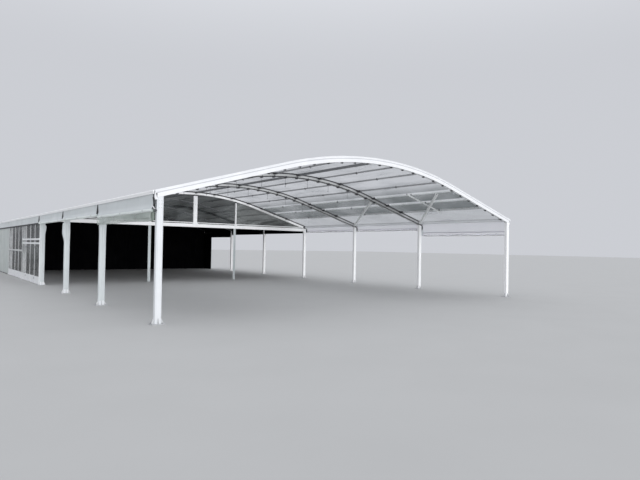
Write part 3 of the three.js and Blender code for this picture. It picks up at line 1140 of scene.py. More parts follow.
@dataclass
class RoofFittings:
    """Hooks, clamps, hangers and splice plates where bars and rafters meet."""

    rafter_face: float = 0.06
    clamp_step: float = 0.584
    crown_reach: float = 5.0
    shoe: tuple[float, float, float] = (0.13, 0.20, 0.072)
    seed: int = 11

    def build(self) -> None:
        """Builds the fittings of each frame and of each bay."""
        for number in range(1, FRAME_COUNT + 1):
            shape = Shape()
            y = LINES.frame_y(number)
            faces = [sign for sign in (-1, 1) if abs(y + sign * 0.2) < 15.0]
            for s in self.bar_places():
                for sign in faces:
                    self.hook(shape, s, y + sign * (self.rafter_face + 0.022), sign)
            for sign in faces:
                self.splice(shape, y + sign * (self.rafter_face + 0.09))
            if 1 < number <= CLEAR_BAYS + 1:
                for s in self.bar_places():
                    place = LINES.point(s, y - self.rafter_face - 0.102, 0.068)
                    shape.block(place, self.shoe, LINES.turn(s), 0.006, finish=2)
            if number <= CLEAR_BAYS:
                self.clamps(shape, number, y)
            shape.build(f"rafter_fittings_{number}", [DARK_STEEL, PALE_STEEL, DARK_SEAL_AND_SHADE])
        for bay in range(1, FRAME_COUNT):
            shape = Shape()
            y = LINES.frame_y(bay) + LINES.bay / 2
            for s in self.bar_places():
                self.collar(shape, s, y)
            shape.build(f"purlin_collars_{bay}", [DARK_STEEL, PALE_STEEL])

    def bar_places(self) -> list[float]:
        """Arc lengths of all purlins on both sides."""
        right = LINES.bars()
        return [*[-s for s in reversed(right)], *right]

    def hook(self, shape: Shape, s: float, y: float, sign: int) -> None:
        """Adds the hook that carries a purlin's end.

        Args:
            shape: The frame's fittings.
            s: Arc length of the purlin.
            y: Place along the tent.
            sign: Side of the rafter, as the sign of Y.
        """
        turn = LINES.turn(s)
        shape.block(LINES.point(s, y, 0.094), (0.075, 0.044, 0.018), turn, 0.004)
        for dx in (-0.031, 0.031):
            shape.block(LINES.point(s, y, 0.066) + turn @ Vector((dx, 0, 0)), (0.010, 0.05, 0.06), turn, 0.003)
        bolt = LINES.point(s, y + sign * 0.008, 0.066)
        shape.rod([bolt + turn @ Vector((dx, 0, 0)) for dx in (-0.044, 0.044)], 0.008, 6, finish=1)

    def collar(self, shape: Shape, s: float, y: float) -> None:
        """Adds the small band with an eye in the middle of a purlin.

        Args:
            shape: The bay's fittings.
            s: Arc length of the purlin.
            y: Place along the tent.
        """
        turn = LINES.turn(s)
        shape.block(LINES.point(s, y, 0.060), (0.064, 0.05, 0.070), turn, 0.006)
        eye = LINES.point(s, y, 0.112)
        ring = [eye + turn @ Vector((0.018 * cos(a), 0, 0.018 * sin(a))) for a in ring_angles(12)]
        shape.rod(ring, 0.005, 6, closed=True)

    def splice(self, shape: Shape, y: float) -> None:
        """Adds the splice plates under the ridge bar.

        Args:
            shape: The frame's fittings.
            y: Place along the tent.
        """
        shape.block(LINES.point(CROWN, y, 0.076), (0.104, 0.18, 0.104), chamfer=0.008)
        for dy in (-0.05, 0.05):
            for dx in (-0.056, 0.056):
                start = LINES.point(CROWN, y + dy, 0.076) + Vector((dx * 0.9, 0, 0))
                shape.stud(start, (dx * 0.2, 0, 0), 0.011)

    def clamps(self, shape: Shape, number: int, y: float) -> None:
        """Adds the dark clamps under a rafter, with short hangers on the grey ones.

        Args:
            shape: The frame's fittings.
            number: The frame's number.
            y: Its place along the tent.
        """
        dice = random.Random(self.seed + number)
        for k in range(-13, 14):
            s = k * self.clamp_step
            if abs(s) > (LINES.end - 0.3 if number == 1 else self.crown_reach):
                continue
            place = s or CROWN
            turn = LINES.turn(place)
            if number == 1:
                shape.block(LINES.point(place, y + 0.01, 0.215), (0.06, 0.07, 0.03), turn, 0.006)
                shape.block(LINES.point(place, y + 0.066, 0.185), (0.05, 0.012, 0.085), turn, 0.003)
                shape.block(LINES.point(place, y + 0.01, 0.238), (0.03, 0.03, 0.018), turn, 0.005)
                continue
            shape.block(LINES.point(place, y, 0.216), (0.085, 0.132, 0.032), turn, 0.006)
            for dy in (-0.066, 0.066):
                shape.block(LINES.point(place, y + dy, 0.180), (0.05, 0.012, 0.075), turn, 0.003)
            if k % 2 and LINES.is_grey(number):
                self.hanger(shape, LINES.point(place, y, 0.22), 0.26 + 0.1 * dice.random())

    def hanger(self, shape: Shape, top: Vector, length: float) -> None:
        """Adds a thin hanger rod with a loop at its foot.

        Args:
            shape: The frame's fittings.
            top: Where the rod starts.
            length: Its length.
        """
        foot = top - Vector((0, 0, length))
        shape.rod([top, foot], 0.006, 6)
        loop = [foot + Vector((0.02 * sin(a), 0, -0.02 + 0.02 * cos(a))) for a in ring_angles(12)]
        shape.rod(loop, 0.005, 6, closed=True)


@dataclass
class RoofSheets:
    """Six stretched sheets, each one bay long, that rest on the purlins."""

    lip: float = 0.012
    track: float = 0.052
    cell: float = 0.09
    rest_depth: float = 0.0265
    bulge: float = 0.012
    ripple: float = 0.004

    def depth_at(self, s: float, y: float, bay: int) -> float:
        """Depth of the sheet under the rafter's line.

        Args:
            s: Arc length across the tent.
            y: Place along the tent.
            bay: The bay's number.

        Returns:
            The depth, less where the sheet bulges between purlins.
        """
        front = LINES.frame_y(bay) + self.track
        edge = min(y - front, front + LINES.bay - 2 * self.track - y)
        inner = smooth(edge / 0.5)
        between = sin(pi * LINES.share_between(s)) ** 2
        last = smooth((LINES.end - abs(s)) / 0.3)
        pucker = wobble(s * 4.5, y * 0.9, bay) * (1 - smooth(edge / 1.2)) + 0.6 * wobble(s * 1.4, y * 2.6, bay + 9)
        lift = self.bulge * between * inner + self.ripple * pucker * smooth(edge / 0.08)
        return self.rest_depth - max(lift, 0.0) * last

    def build(self) -> None:
        """Builds the clear and the opaque sheets."""
        for bay in range(1, FRAME_COUNT):
            clear = bay <= CLEAR_BAYS
            front = LINES.frame_y(bay) + self.track
            length = LINES.bay - 2 * self.track
            reach = LINES.end + self.lip
            across = steps(-reach, reach, 2 * round(reach / self.cell) + 1)
            along = steps(front, front + length, round(length / self.cell) + 1)
            rows = [[LINES.point(s, y, self.depth_at(s, y, bay)) for s in across] for y in along]
            shape = Shape()
            shape.skin(rows, lengths=along)
            name = f"roof_sheet_{bay}"
            made = shape.build(name, [CLEAR_ROOF if clear else ROOF_CLOTH], sharp=80)
            if not clear:
                self.line_underside(shape, bay)
            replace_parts(made, f"roof_clear_{bay}" if clear else f"roof_white_{bay}")

    def line_underside(self, outer: Shape, bay: int) -> None:
        """Adds the grey inner face of an opaque sheet, just under the outer one.

        Args:
            outer: The outer face.
            bay: The bay's number.
        """
        shape = Shape()
        shape.points = [p - Vector((0, 0, 0.003)) for p in outer.points]
        shape.flat = list(outer.flat)
        shape.faces = [tuple(reversed(face)) for face in outer.faces]
        shape.finish = list(outer.finish)
        made = shape.build(f"roof_underside_{bay}", [ROOF_LINER], sharp=80)
        2 * (LINES.end + self.lip)


@dataclass
class Bracing:
    """Light tubes that stiffen the roof of the clear bays near the eaves."""

    depth: float = 0.145
    runs: tuple[tuple[tuple[float, float], tuple[float, float], float], ...] = (
        ((7.62, -10.2), (4.33, -13.95), 0.062),
        ((7.62, -5.2), (4.5, -9.86), 0.062),
        ((4.08, -12.53), (6.36, -12.53), 0.032),
    )

    def build(self) -> None:
        """Builds the tubes of both sides, each with its end forks."""
        for side in Side:
            shape = Shape()
            for (x1, y1), (x2, y2), radius in self.runs:
                s1 = LINES.arc_at_x(side.value * x1, self.depth)
                s2 = LINES.arc_at_x(side.value * x2, self.depth)
                path = [LINES.point(s1 + (s2 - s1) * t, y1 + (y2 - y1) * t, self.depth) for t in steps(0, 1, 9)]
                shape.rod(path, radius, 12)
                for end, inner in ((path[0], path[1]), (path[-1], path[-2])):
                    along = (inner - end).normalized()
                    turn = along.to_track_quat("X", "Z").to_matrix()
                    shape.block(end + along * 0.03, (0.12, 0.03, 0.055), turn, 0.005, finish=1)
            # The braces get aluminium brightened by painted light.
            shape.build(f"roof_braces_{side.label}", [LIT_PURLIN_ALUMINIUM, DARK_STEEL])


@dataclass
class Gable:
    """Tie beam, rail, posts and clear pane between the clear and the opaque bays."""

    reach: float = 7.7297
    bottom: float = 3.075
    top: float = 3.265
    front: float = -0.06
    post_depth: float = 0.09
    posts: tuple[tuple[str, float, float], ...] = (("left", -2.62, 0.08), ("centre", 0.0, 0.23), ("right", 2.62, 0.08))
    rail: tuple[float, float] = (3.308, 3.352)
    rail_reach: float = 7.62
    plate_z: float = 3.17
    pane_y: float = 0.034
    pane_reach: float = 7.65

    def build(self) -> None:
        """Builds the beam, the posts, the rail and the pane."""
        self.tie()
        for name, x, width in self.posts:
            self.post(name, x, width)
        self.rails()
        self.pane()

    def tie(self) -> None:
        """Builds the tie beam with grooves along its faces and a plate at each end."""
        height = self.top - self.bottom
        half = [
            (0.0, 0.0), (0.052, 0.0), (0.06, 0.008), (0.06, 0.04), (0.056, 0.043), (0.056, 0.052), (0.06, 0.055),
            (0.06, 0.135), (0.056, 0.138), (0.056, 0.147), (0.06, 0.15), (0.06, height - 0.008), (0.052, height),
            (0.02, height), (0.02, height - 0.01), (0.0, height - 0.01),
        ]
        outline = mirrored_outline(half)
        shape = Shape()
        rows = [[Vector((x, y, self.top - d)) for y, d in outline] for x in steps(-self.reach, self.reach, 9)]
        shape.skin(rows, closed=True, caps=True)
        for sign in (-1, 1):
            x = sign * (self.reach - 0.14)
            for sy in (-1, 1):
                shape.block((x, sy * 0.063, self.plate_z), (0.26, 0.006, 0.13), chamfer=0.002)
                for dx in (-0.09, 0.0, 0.09):
                    shape.stud(Vector((x + dx, sy * 0.066, self.plate_z)), (0, sy * 0.010, 0), 0.011)
        # The tie beam's paint is brightened as painted light.
        made = shape.build("gable_beam", [LIT_WHITE_PAINT, PALE_STEEL])
        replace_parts(made, "gable_tie_beam")

    def post(self, name: str, x: float, width: float) -> None:
        """Builds a post with grooves, a stepped foot and a shoe at its head.

        Args:
            name: Its place in the gable.
            x: X of its middle.
            width: Its width.
        """
        shape = Shape()
        hw, hd = width / 2, self.post_depth / 2
        middle = self.front + hd
        ribs = (0.30, 0.36, 0.58, 0.64) if width > 0.1 else (0.42, 0.58)
        face = [(-hw, -hd + 0.006), (-hw + 0.006, -hd)]
        for i, share in enumerate(ribs):
            dip = 0.006 if i % 2 == 0 else 0.0
            u = -hw + width * share
            face.extend([(u - 0.002, -hd + 0.006 - dip), (u + 0.002, -hd + dip)])
        face.extend([(hw - 0.006, -hd), (hw, -hd + 0.006)])
        outline = [*face, *[(u, -v) for u, v in reversed(face)]]
        rows = []
        for share in (0.0, 0.5, 1.0):
            row = []
            for u, v in outline:
                top = LINES.at_x(x + u, LINES.rafter_depth) - 0.001
                row.append(Vector((x + u, middle + v, self.top + (top - self.top) * share)))
            rows.append(row)
        shape.skin(rows, closed=True, caps=True)
        for height, grow in ((0.012, 0.038), (0.034, 0.026), (0.062, 0.012)):
            shape.block((x, middle, self.top + height - 0.011), (width + 2 * grow, self.post_depth + grow, 0.024),
                        chamfer=0.005)
        head = LINES.at_x(x, LINES.rafter_depth)
        shape.block((x, middle, head - 0.035), (width + 0.03, self.post_depth + 0.02, 0.07),
                    LINES.turn(x or CROWN), 0.006, finish=1)
        # The posts get the white paint with painted light.
        made = shape.build(f"gable_upright_{name}", [LIT_WHITE_PAINT, DARK_STEEL])
        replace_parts(made, f"gable_post_{name}")

    def rails(self) -> None:
        """Builds the thin rail that holds the pane's lower edge, bay by bay between the posts."""
        shape = Shape()
        beside = [e for _, x, w in self.posts for e in (x - w / 2 - 0.01, x + w / 2 + 0.01)]
        edges = [-self.rail_reach, *beside, self.rail_reach]
        for low, high in zip(edges[::2], edges[1::2]):
            size = (high - low, 0.045, self.rail[1] - self.rail[0])
            shape.block(((low + high) / 2, -0.012, sum(self.rail) / 2), size, chamfer=0.006)
            for x in steps(low + 0.25, high - 0.25, max(2, round((high - low) / 0.9))):
                shape.block((x, -0.012, 3.286), (0.03, 0.03, 0.046), chamfer=0.003, finish=1)
        # The rail gets the white paint with painted light.
        shape.build("gable_rail", [LIT_WHITE_PAINT, DARK_STEEL])

    def pane(self) -> None:
        """Builds the clear pane with soft wrinkles."""
        columns = steps(-self.pane_reach, self.pane_reach, 171)
        rows = []
        for t in steps(0.0, 1.0, 15):
            row = []
            for x in columns:
                top = LINES.at_x(x, LINES.rafter_depth) - 0.002
                z = self.top + 0.001 + (top - self.top - 0.001) * t
                bow = 0.006 * wobble(x * 1.1, z * 3.0, 3.0) * sin(pi * t)
                row.append(Vector((x, self.pane_y + bow, z)))
            rows.append(row)
        shape = Shape()
        # Columns right of the right post get the gable vinyl with painted light.
        shape.skin(rows, finish=lambda k: int(columns[k] > self.posts[-1][1]))
        shape.flat = [(p.x, p.z) for p in shape.points]
        made = shape.build("gable_window", [CLEAR_GABLE, LIT_GABLE_VINYL], sharp=80)
        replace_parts(made, "gable_pane")
        wide, tall = 2 * self.pane_reach, LINES.at_x(0, LINES.rafter_depth) - self.top
        area = sum((LINES.at_x(x, LINES.rafter_depth) - self.top) for x in columns) * wide / len(columns)


@dataclass
class DividerRail:
    """Black rail that hangs under the first frame of the opaque bays, with its hangers."""

    frame: int = CLEAR_BAYS + 2
    reach: float = 6.3
    drop: float = 0.26
    crown_drop: float = 0.10
    half: tuple[float, float] = (0.045, 0.075)

    def depth(self, s: float) -> float:
        """Depth of the rail's middle under the rafter's outer line."""
        return LINES.rafter_depth + self.drop + self.crown_drop * (1 - smooth(abs(s) / 2.2))

    def build(self) -> None:
        """Builds the rail and its hangers."""
        shape = Shape()
        y = LINES.frame_y(self.frame)
        across, tall = self.half
        rows = [[LINES.point(s or CROWN, y + across * cos(a), self.depth(s) + tall * sin(a)) for a in ring_angles(12)]
                for s in steps(-self.reach, self.reach, 57)]
        shape.skin(rows, closed=True, caps=True)
        for s in steps(-6.0, 6.0, 9):
            top, low = LINES.point(s or CROWN, y, LINES.rafter_depth), LINES.point(s or CROWN, y, self.depth(s))
            shape.rod([top, low], 0.008, 8, finish=1)
            shape.block(top - Vector((0, 0, 0.012)), (0.07, 0.09, 0.024), LINES.turn(s or CROWN), 0.004, finish=1)
        shape.build("divider_rail", [BLACK_DRAPE, DARK_STEEL])


@dataclass(frozen=True)
class Roll:
    """One side wall rolled up under its eave flap."""

    side: Side
    bay: int
    foot: float
    radius: float

    @property
    def name(self) -> str:
        """Side and bay, as in the node names."""
        return f"{self.side.label}_{self.bay}"

    def cloth_of(self, k: int) -> int:
        """Finish number of a column: on the left the roll, paler partly by its own cloth and partly by painted light;
        on the right painted light on the flap, a painted shade line over the roll and brighter painted light on the
        roll.
        """
        if self.side is Side.LEFT:
            return int(k >= 12)
        return 1 if k == 10 else 2 * int(k > 10)


@dataclass
class EaveFlaps:
    """Cloth flaps along the eaves, with the rolled-up walls of the open bays at their foot."""

    flap_x: float = 7.974
    gap: float = 0.045
    slant: float = 0.22
    turns: float = 2.6
    cloth: float = 0.004
    flap_foot: float = 2.99
    piping_reach: float = 15.055
    rolls: tuple[Roll, ...] = (
        Roll(Side.LEFT, 1, 2.845, 0.052), Roll(Side.LEFT, 2, 2.905, 0.052), Roll(Side.LEFT, 3, 2.905, 0.052),
        Roll(Side.RIGHT, 1, 2.68, 0.056), Roll(Side.RIGHT, 2, 2.985, 0.045), Roll(Side.RIGHT, 3, 2.985, 0.045),
        Roll(Side.RIGHT, 4, 2.985, 0.045), Roll(Side.RIGHT, 5, 2.985, 0.045), Roll(Side.RIGHT, 6, 2.75, 0.052),
    )

    @property
    def top(self) -> float:
        """Height where the flap leaves the roof's edge."""
        return LINES.point(LINES.end + 0.012, 0, SHEET_DEPTH).z

    def build(self) -> None:
        """Builds the rolled walls, the plain flaps of the closed bays and the edge piping."""
        for roll in self.rolls:
            self.rolled(roll)
        for bay in range(CLEAR_BAYS + 1, FRAME_COUNT):
            self.plain(bay)
        for side in Side:
            self.piping(side)
        self.seams()

    def seams(self) -> None:
        """Builds the dark strips that close the gaps between the flaps behind their ends, as painted shade inside the
        gaps.
        """
        for side in Side:
            shape = Shape()
            for number in range(1 if side is Side.LEFT else 2, FRAME_COUNT):
                y = LINES.frame_y(number)
                # Dark strips behind each gap are painted shade seen through it.
                places = ((self.top - 0.10, 0.01, 0.13), (self.top - 0.27, -0.02, 0.13))
                if number == 1:
                    places = ((self.top - 0.10, 0.042, 0.05), (self.top - 0.27, 0.012, 0.09))
                for z, dy, wide in places:
                    shape.block((side.value * (self.flap_x - 0.014), y + dy, z), (0.006, wide, 0.19), chamfer=0.002)
                if number > 1:
                    shape.block((side.value * (self.flap_x - 0.045), y - 0.035, 3.17), (0.05, 0.012, 0.34),
                                chamfer=0.003)
                if 1 < number <= CLEAR_BAYS + 1:
                    self.fin(shape, side, y)
            shape.build(f"flap_seams_{side.label}", [DARK_SEAL_AND_SHADE])

    def fin(self, shape: Shape, side: Side, y: float) -> None:
        """Adds the dark lacing strip that stands out between the ends of two flaps.

        Args:
            shape: The strips of one side.
            side: Their side.
            y: The frame's place along the tent.
        """
        rows = []
        for z, inner, outer in ((self.top - 0.03, -0.02, 0.012), (self.top - 0.22, -0.01, 0.034), (3.01, 0.0, 0.05)):
            ring = [(inner, -0.006), (outer, -0.006), (outer, 0.006), (inner, 0.006)]
            rows.append([Vector((side.value * (self.flap_x + dx), y + dy, z)) for dx, dy in ring])
        shape.skin(rows, closed=True, caps=True)

    def rolled(self, roll: Roll) -> None:
        """Builds one flap that ends in a roll, held by straps.

        Args:
            roll: The rolled wall.
        """
        start = LINES.frame_y(roll.bay) + self.gap
        length = LINES.bay - 2 * self.gap
        along = steps(start, start + length, round(length / 0.07) + 1)
        rows = [self.section(roll, y, (y - start) / length) for y in along]
        shape = Shape()
        shape.skin(rows, lengths=along, finish=roll.cloth_of)
        right = roll.side is Side.RIGHT
        # The right flaps get cloths with painted light and a painted shade line.
        cloths = [LIT_WALL_CLOTH, ROLL_SHADE_CLOTH, LIT_ROLL_CLOTH] if right else [WHITE_CLOTH, ROLL_CLOTH]
        made = shape.build(f"side_flap_{roll.name}", cloths, sharp=80)
        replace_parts(made, f"rolled_wall_{roll.name}")
        width = running_lengths(rows[0])[-1]
        f"eave_bar_{roll.side.label}"
        self.straps(roll, start, length)

    def section(self, roll: Roll, y: float, share: float) -> Row:
        """Cross-section of a flap and its roll at one place.

        Args:
            roll: The rolled wall.
            y: Place along the tent.
            share: Place within the bay, from 0 to 1.

        Returns:
            The points from the roof's edge down and round the roll.
        """
        seed = roll.bay + 7 * roll.side.value
        sag = 0.012 * sin(pi * share * 3) ** 2 + 0.008 * wobble(y * 1.3, 0, seed)
        centre = roll.foot + roll.radius + sag * 0.5
        row = []
        drop = self.top - centre
        for t in steps(0, 1, 14):
            bow = 0.010 * wobble(y * 0.8, t * 2, seed) * sin(pi * t) + 0.006 * wobble(y * 3.1, t, seed + 3)
            swell = roll.radius * smooth((t - 0.62) / 0.38)
            row.append((self.flap_x + swell + bow * smooth(t * 4) * (1 - smooth(t * 4 - 3)), self.top - drop * t))
        for k in range(int(self.turns * 14)):
            angle = 2 * pi * (k + 1) / 14
            shrink = 1 - 0.8 * k / (self.turns * 14)
            dent = 1 + 0.08 * wobble(y * 2.0, angle, seed + 5)
            radius = roll.radius * shrink * dent
            row.append((self.flap_x + radius * cos(angle), centre - radius * sin(angle)))
        lean = self.slant * (1 - smooth(min(share, 1 - share) * LINES.bay / 0.4)) if roll.side is Side.LEFT else 0.0
        return [Vector((roll.side.value * x, y + lean * (z - self.top + 0.2), z)) for x, z in row]

    def straps(self, roll: Roll, start: float, length: float) -> None:
        """Builds the webbing ties that hold a roll up.

        Args:
            roll: The rolled wall.
            start: Where the flap starts along the tent.
            length: Its length.
        """
        shape = Shape()
        for share in (0.12, 0.5, 0.88):
            y = start + length * share
            centre = roll.foot + roll.radius + 0.004
            radius = roll.radius + 0.010
            loop = [(self.flap_x + radius * cos(a), centre - radius * sin(a))
                    for a in (2 * pi * k / 16 for k in range(17))]
            shape.skin([[Vector((roll.side.value * x, y + dy, z)) for x, z in loop] for dy in (-0.0125, 0.0125)])
            shape.block((roll.side.value * (self.flap_x + radius + 0.004), y, centre + 0.01), (0.008, 0.04, 0.03),
                        chamfer=0.003, finish=1)
        shape.build(f"roll_straps_{roll.name}", [WHITE_STRAP, PALE_STEEL])

    def plain(self, bay: int) -> None:
        """Builds the flap over the left wall of a closed bay.

        Args:
            bay: The bay's number.
        """
        start = LINES.frame_y(bay) + self.gap
        length = LINES.bay - self.gap + (0.06 if bay == FRAME_COUNT - 1 else 0.0)
        along = steps(start, start + length, round(length / 0.08) + 1)
        rows = []
        for y in along:
            foot = self.flap_foot + 0.006 * wobble(y * 1.6, 0, bay)
            row = []
            for t in steps(0, 1, 12):
                bow = 0.008 * wobble(y * 1.1, t * 2, bay + 20) * smooth(t * 3)
                row.append(Vector((-self.flap_x - bow, y, self.top + (foot - self.top) * t)))
            row.append(row[-1] + Vector((0.008, 0, 0.004)))
            row.append(row[-1] + Vector((0.002, 0, 0.03)))
            rows.append(row)
        shape = Shape()
        shape.skin(rows, lengths=along)
        made = shape.build(f"eave_valance_left_{bay}", [WHITE_CLOTH], sharp=80)
        if bay == CLEAR_BAYS + 1:
            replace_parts(made, "eave_flap_left")
        running_lengths(rows[0])[-1]

    def piping(self, side: Side) -> None:
        """Builds the double white edge strip along one eave.

        Args:
            side: The side of the tent.
        """
        shape = Shape()
        x0 = self.flap_x + 0.010
        ribs = [
            (-0.014, 0.012), (-0.008, 0.022), (0.006, 0.024), (0.018, 0.014), (0.022, -0.002), (0.020, -0.020),
            (0.014, -0.032), (0.006, -0.036), (0.006, -0.042), (0.014, -0.046), (0.016, -0.062), (0.008, -0.074),
            (-0.004, -0.076), (-0.004, 0.006),
        ]
        rows = [[Vector((side.value * (x0 + dx), y, self.top + dz)) for dx, dz in ribs]
                for y in steps(-self.piping_reach, self.piping_reach, 13)]
        shape.skin(rows, closed=True, caps=True)
        # The piping's paint is brightened as painted light.
        shape.build(f"eave_piping_{side.label}", [LIT_WHITE_PAINT])


@dataclass
class FilmBag:
    """Translucent film sleeve that sags under the front left roll."""

    x: float = -7.974
    top: float = 2.865
    foot: float = 2.63
    start: float = -14.96
    end: float = -10.05

    def build(self) -> None:
        """Builds the sleeve with its creases and its tucked front end."""
        along = steps(self.start, self.end, 110)
        rows = []
        for y in along:
            share = (y - self.start) / (self.end - self.start)
            fall = (self.top - self.foot) * (1.06 - 0.06 * smooth(share * 2.0)) * (0.97 + 0.03 * cos(9 * share))
            row = []
            for k in range(29):
                t = k / 28
                angle = pi * t
                crease = 1 + 0.10 * wobble(y * 0.7, t * 5, 2.0) + 0.02 * wobble(y * 3.0, t * 9, 5.0)
                tuck = 0.5 * exp(-((t - 0.24 - 0.10 * share) / 0.035) ** 2)
                x = self.x - 0.055 * cos(angle) * (crease - tuck) * (0.8 + 0.4 * sin(angle))
                z = self.top - fall * sin(angle) ** 0.8 * (1 + 0.03 * wobble(y * 1.5, t * 3, 8.0))
                row.append(Vector((x, y, max(z, self.foot - 0.025))))
            rows.append(row)
        rows.insert(0, [Vector((self.x + (p.x - self.x) * 0.08, p.y + 0.09, p.z)) for p in rows[0]])
        shape = Shape()
        shape.skin(rows, lengths=[along[0] - 0.1, *along])
        made = shape.build("film_sleeve_left_1", [GREEN_FILM], sharp=80)
        self.end - self.start
        running_lengths(rows[60])[-1]


@dataclass
class GlazedWall:
    """Glazed wall of two bays: posts, rails, panes in beads, kick panels and one pair of doors."""

    inner: float = 7.9003
    thick: float = 0.04
    bar: float = 0.06
    length: float = 9.97
    count: int = 8
    foot: float = 0.0153
    kick_top: float = 0.38
    rails: tuple[tuple[float, ...], ...] = ((2.0, 2.2), (1.58,))
    doors: tuple[int, int] = (1, 2)

    @property
    def pitch(self) -> float:
        """Distance between the middles of two posts."""
        return (self.length - self.bar) / self.count

    @property
    def middle(self) -> float:
        """X of the wall's middle plane."""
        return -self.inner - self.thick / 2

    @property
    def top(self) -> float:
        """Height of the wall."""
        return LINES.point(LINES.end, 0, LINES.rafter_depth).z - 0.0003

    def build(self) -> None:
        """Builds the frame, the kick panels, the beads, the panes and the doors' fittings."""
        frame = Shape()
        self.posts(frame)
        cells = list(self.cells())
        for low, high, bottom, top in cells:
            self.beads(frame, low, high, bottom, top)
        self.kick_panels(frame)
        made = frame.build("glazed_wall_frame", [WHITE_PAINT, DARK_SEAL_AND_SHADE, GREY_ALUMINIUM])
        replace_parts(made, "window_wall_left")
        panes = Shape()
        for low, high, bottom, top in cells:
            size = (0.008, high - low - 0.004, top - bottom - 0.004)
            panes.block((self.middle, (low + high) / 2, (bottom + top) / 2), size, chamfer=0.001)
        panes.build("glazed_wall_panes", [WINDOW_GLAZING])
        self.door_fittings()
        self.head_seal()

    def head_seal(self) -> None:
        """Builds the dark strip on the head of the left walls, just under their flaps, as painted shade in the gap
        there.
        """
        shape = Shape()
        # The strips are painted shade under the flaps.
        for start, end in ((0.01, 4.99), (5.01, 9.99), (10.01, 15.03)):
            x = self.middle - self.thick / 2 - 0.008
            shape.block((x, (start + end) / 2, 2.955), (0.014, end - start, 0.075), chamfer=0.004)
        shape.build("wall_head_seal_left", [DARK_SEAL_AND_SHADE])

    def posts(self, frame: Shape) -> None:
        """Adds posts, rails, head and sill.

        Args:
            frame: The wall's frame.
        """
        tall = self.top - self.foot
        for i in range(self.count + 1):
            y = i * self.pitch + self.bar / 2
            frame.block((self.middle, y, self.foot + tall / 2), (self.thick, self.bar, tall), chamfer=0.004)
            for sign in (-1, 1):
                x = self.middle + sign * (self.thick / 2 - 0.0002)
                frame.block((x, y, self.foot + tall / 2), (0.0022, 0.004, tall - 0.02), chamfer=0.0004, finish=1)
        for i in range(self.count):
            y = (i + 0.5) * self.pitch + self.bar / 2
            width = self.pitch - self.bar + 0.002
            bay_rails = self.rails[2 * i // self.count]
            heights = [self.foot + self.bar / 2, self.kick_top - self.bar / 2, *bay_rails, self.top - self.bar / 2]
            for z in heights:
                bare = 2 if len(bay_rails) == 1 and z in bay_rails else 0
                frame.block((self.middle, y, z), (self.thick - 0.002, width, self.bar), chamfer=0.004, finish=bare)

    def cells(self) -> Iterable[tuple[float, float, float, float]]:
        """Window openings, one after the other.

        Returns:
            Lowest and highest Y, then lowest and highest Z, of each.
        """
        half = self.bar / 2
        for i in range(self.count):
            low, high = i * self.pitch + self.bar, (i + 1) * self.pitch
            edges = [self.kick_top - half, *self.rails[2 * i // self.count], self.top - half]
            for below, above in zip(edges, edges[1:]):
                yield low, high, below + half, above - half

    def beads(self, frame: Shape, low: float, high: float, bottom: float, top: float) -> None:
        """Adds a glazing bead and a dark seal round one pane, on both faces.

        Args:
            frame: The wall's frame.
            low: Lowest Y of the opening.
            high: Its highest Y.
            bottom: Its lowest Z.
            top: Its highest Z.
        """
        wide, tall = high - low, top - bottom
        y, z = (low + high) / 2, (bottom + top) / 2
        for sign in (-1, 1):
            for inset, width, reach, finish in ((0.006, 0.012, 0.011, 0), (0.0145, 0.005, 0.007, 1)):
                x = self.middle + sign * (0.004 + reach / 2)
                for dz in (inset - tall / 2, tall / 2 - inset):
                    frame.block((x, y, z + dz), (reach, wide - 2 * inset + width, width), chamfer=0.002, finish=finish)
                for dy in (inset - wide / 2, wide / 2 - inset):
                    frame.block((x, y + dy, z), (reach, width, tall - 2 * inset + width), chamfer=0.002, finish=finish)

    def kick_panels(self, frame: Shape) -> None:
        """Adds the closed panels under the windows, each with a raised field on both faces.

        Args:
            frame: The wall's frame.
        """
        low, high = self.foot + self.bar, self.kick_top - self.bar
        for i in range(self.count):
            y = (i + 0.5) * self.pitch + self.bar / 2
            width = self.pitch - self.bar
            z, tall = (low + high) / 2, high - low
            frame.block((self.middle, y, z), (0.018, width + 0.004, tall + 0.004), chamfer=0.001)
            for sign in (-1, 1):
                x = self.middle + sign * 0.010
                frame.block((x, y, z), (0.008, width - 0.16, tall - 0.16), chamfer=0.004)
                for dy in (-width / 2 + 0.008, width / 2 - 0.008):
                    frame.block((x, y + dy, z), (0.012, 0.016, tall), chamfer=0.003)
                for dz in (-tall / 2 + 0.008, tall / 2 - 0.008):
                    frame.block((x, y, z + dz), (0.012, width - 0.032, 0.016), chamfer=0.003)

    def door_fittings(self) -> None:
        """Builds lever handles, lock plates and hinges of the pair of doors."""
        shape = Shape()
        meeting = self.doors[1] * self.pitch + self.bar / 2
        for sign in (-1, 1):
            face = self.middle + sign * self.thick / 2
            for dy in (-0.018, 0.018):
                y = meeting + dy
                shape.block((face + sign * 0.003, y, 1.06), (0.006, 0.024, 0.20), chamfer=0.002)
                neck = [Vector((face + sign * 0.004, y, 1.10)), Vector((face + sign * 0.040, y, 1.10))]
                shape.rod(neck, 0.007, 10)
                tip = copysign(0.105, dy)
                lever = [neck[1], neck[1] + Vector((sign * 0.004, tip * 0.3, 0)), neck[1] + Vector((0, tip, -0.004))]
                shape.rod(lever, 0.008, 10)
                shape.rod([Vector((face + sign * 0.004, y, 1.02)), Vector((face + sign * 0.012, y, 1.02))], 0.008, 12)
        for post in (self.doors[0], self.doors[1] + 1):
            y = post * self.pitch + self.bar / 2
            for z in (0.28, 1.06, 1.80):
                x = self.middle - self.thick / 2
                shape.rod([Vector((x - 0.006, y, z - 0.05)), Vector((x - 0.006, y, z + 0.05))], 0.008, 10)
                shape.block((x - 0.001, y, z), (0.004, 0.05, 0.07), chamfer=0.001)
        shape.build("glazed_wall_doors", [DARK_STEEL])


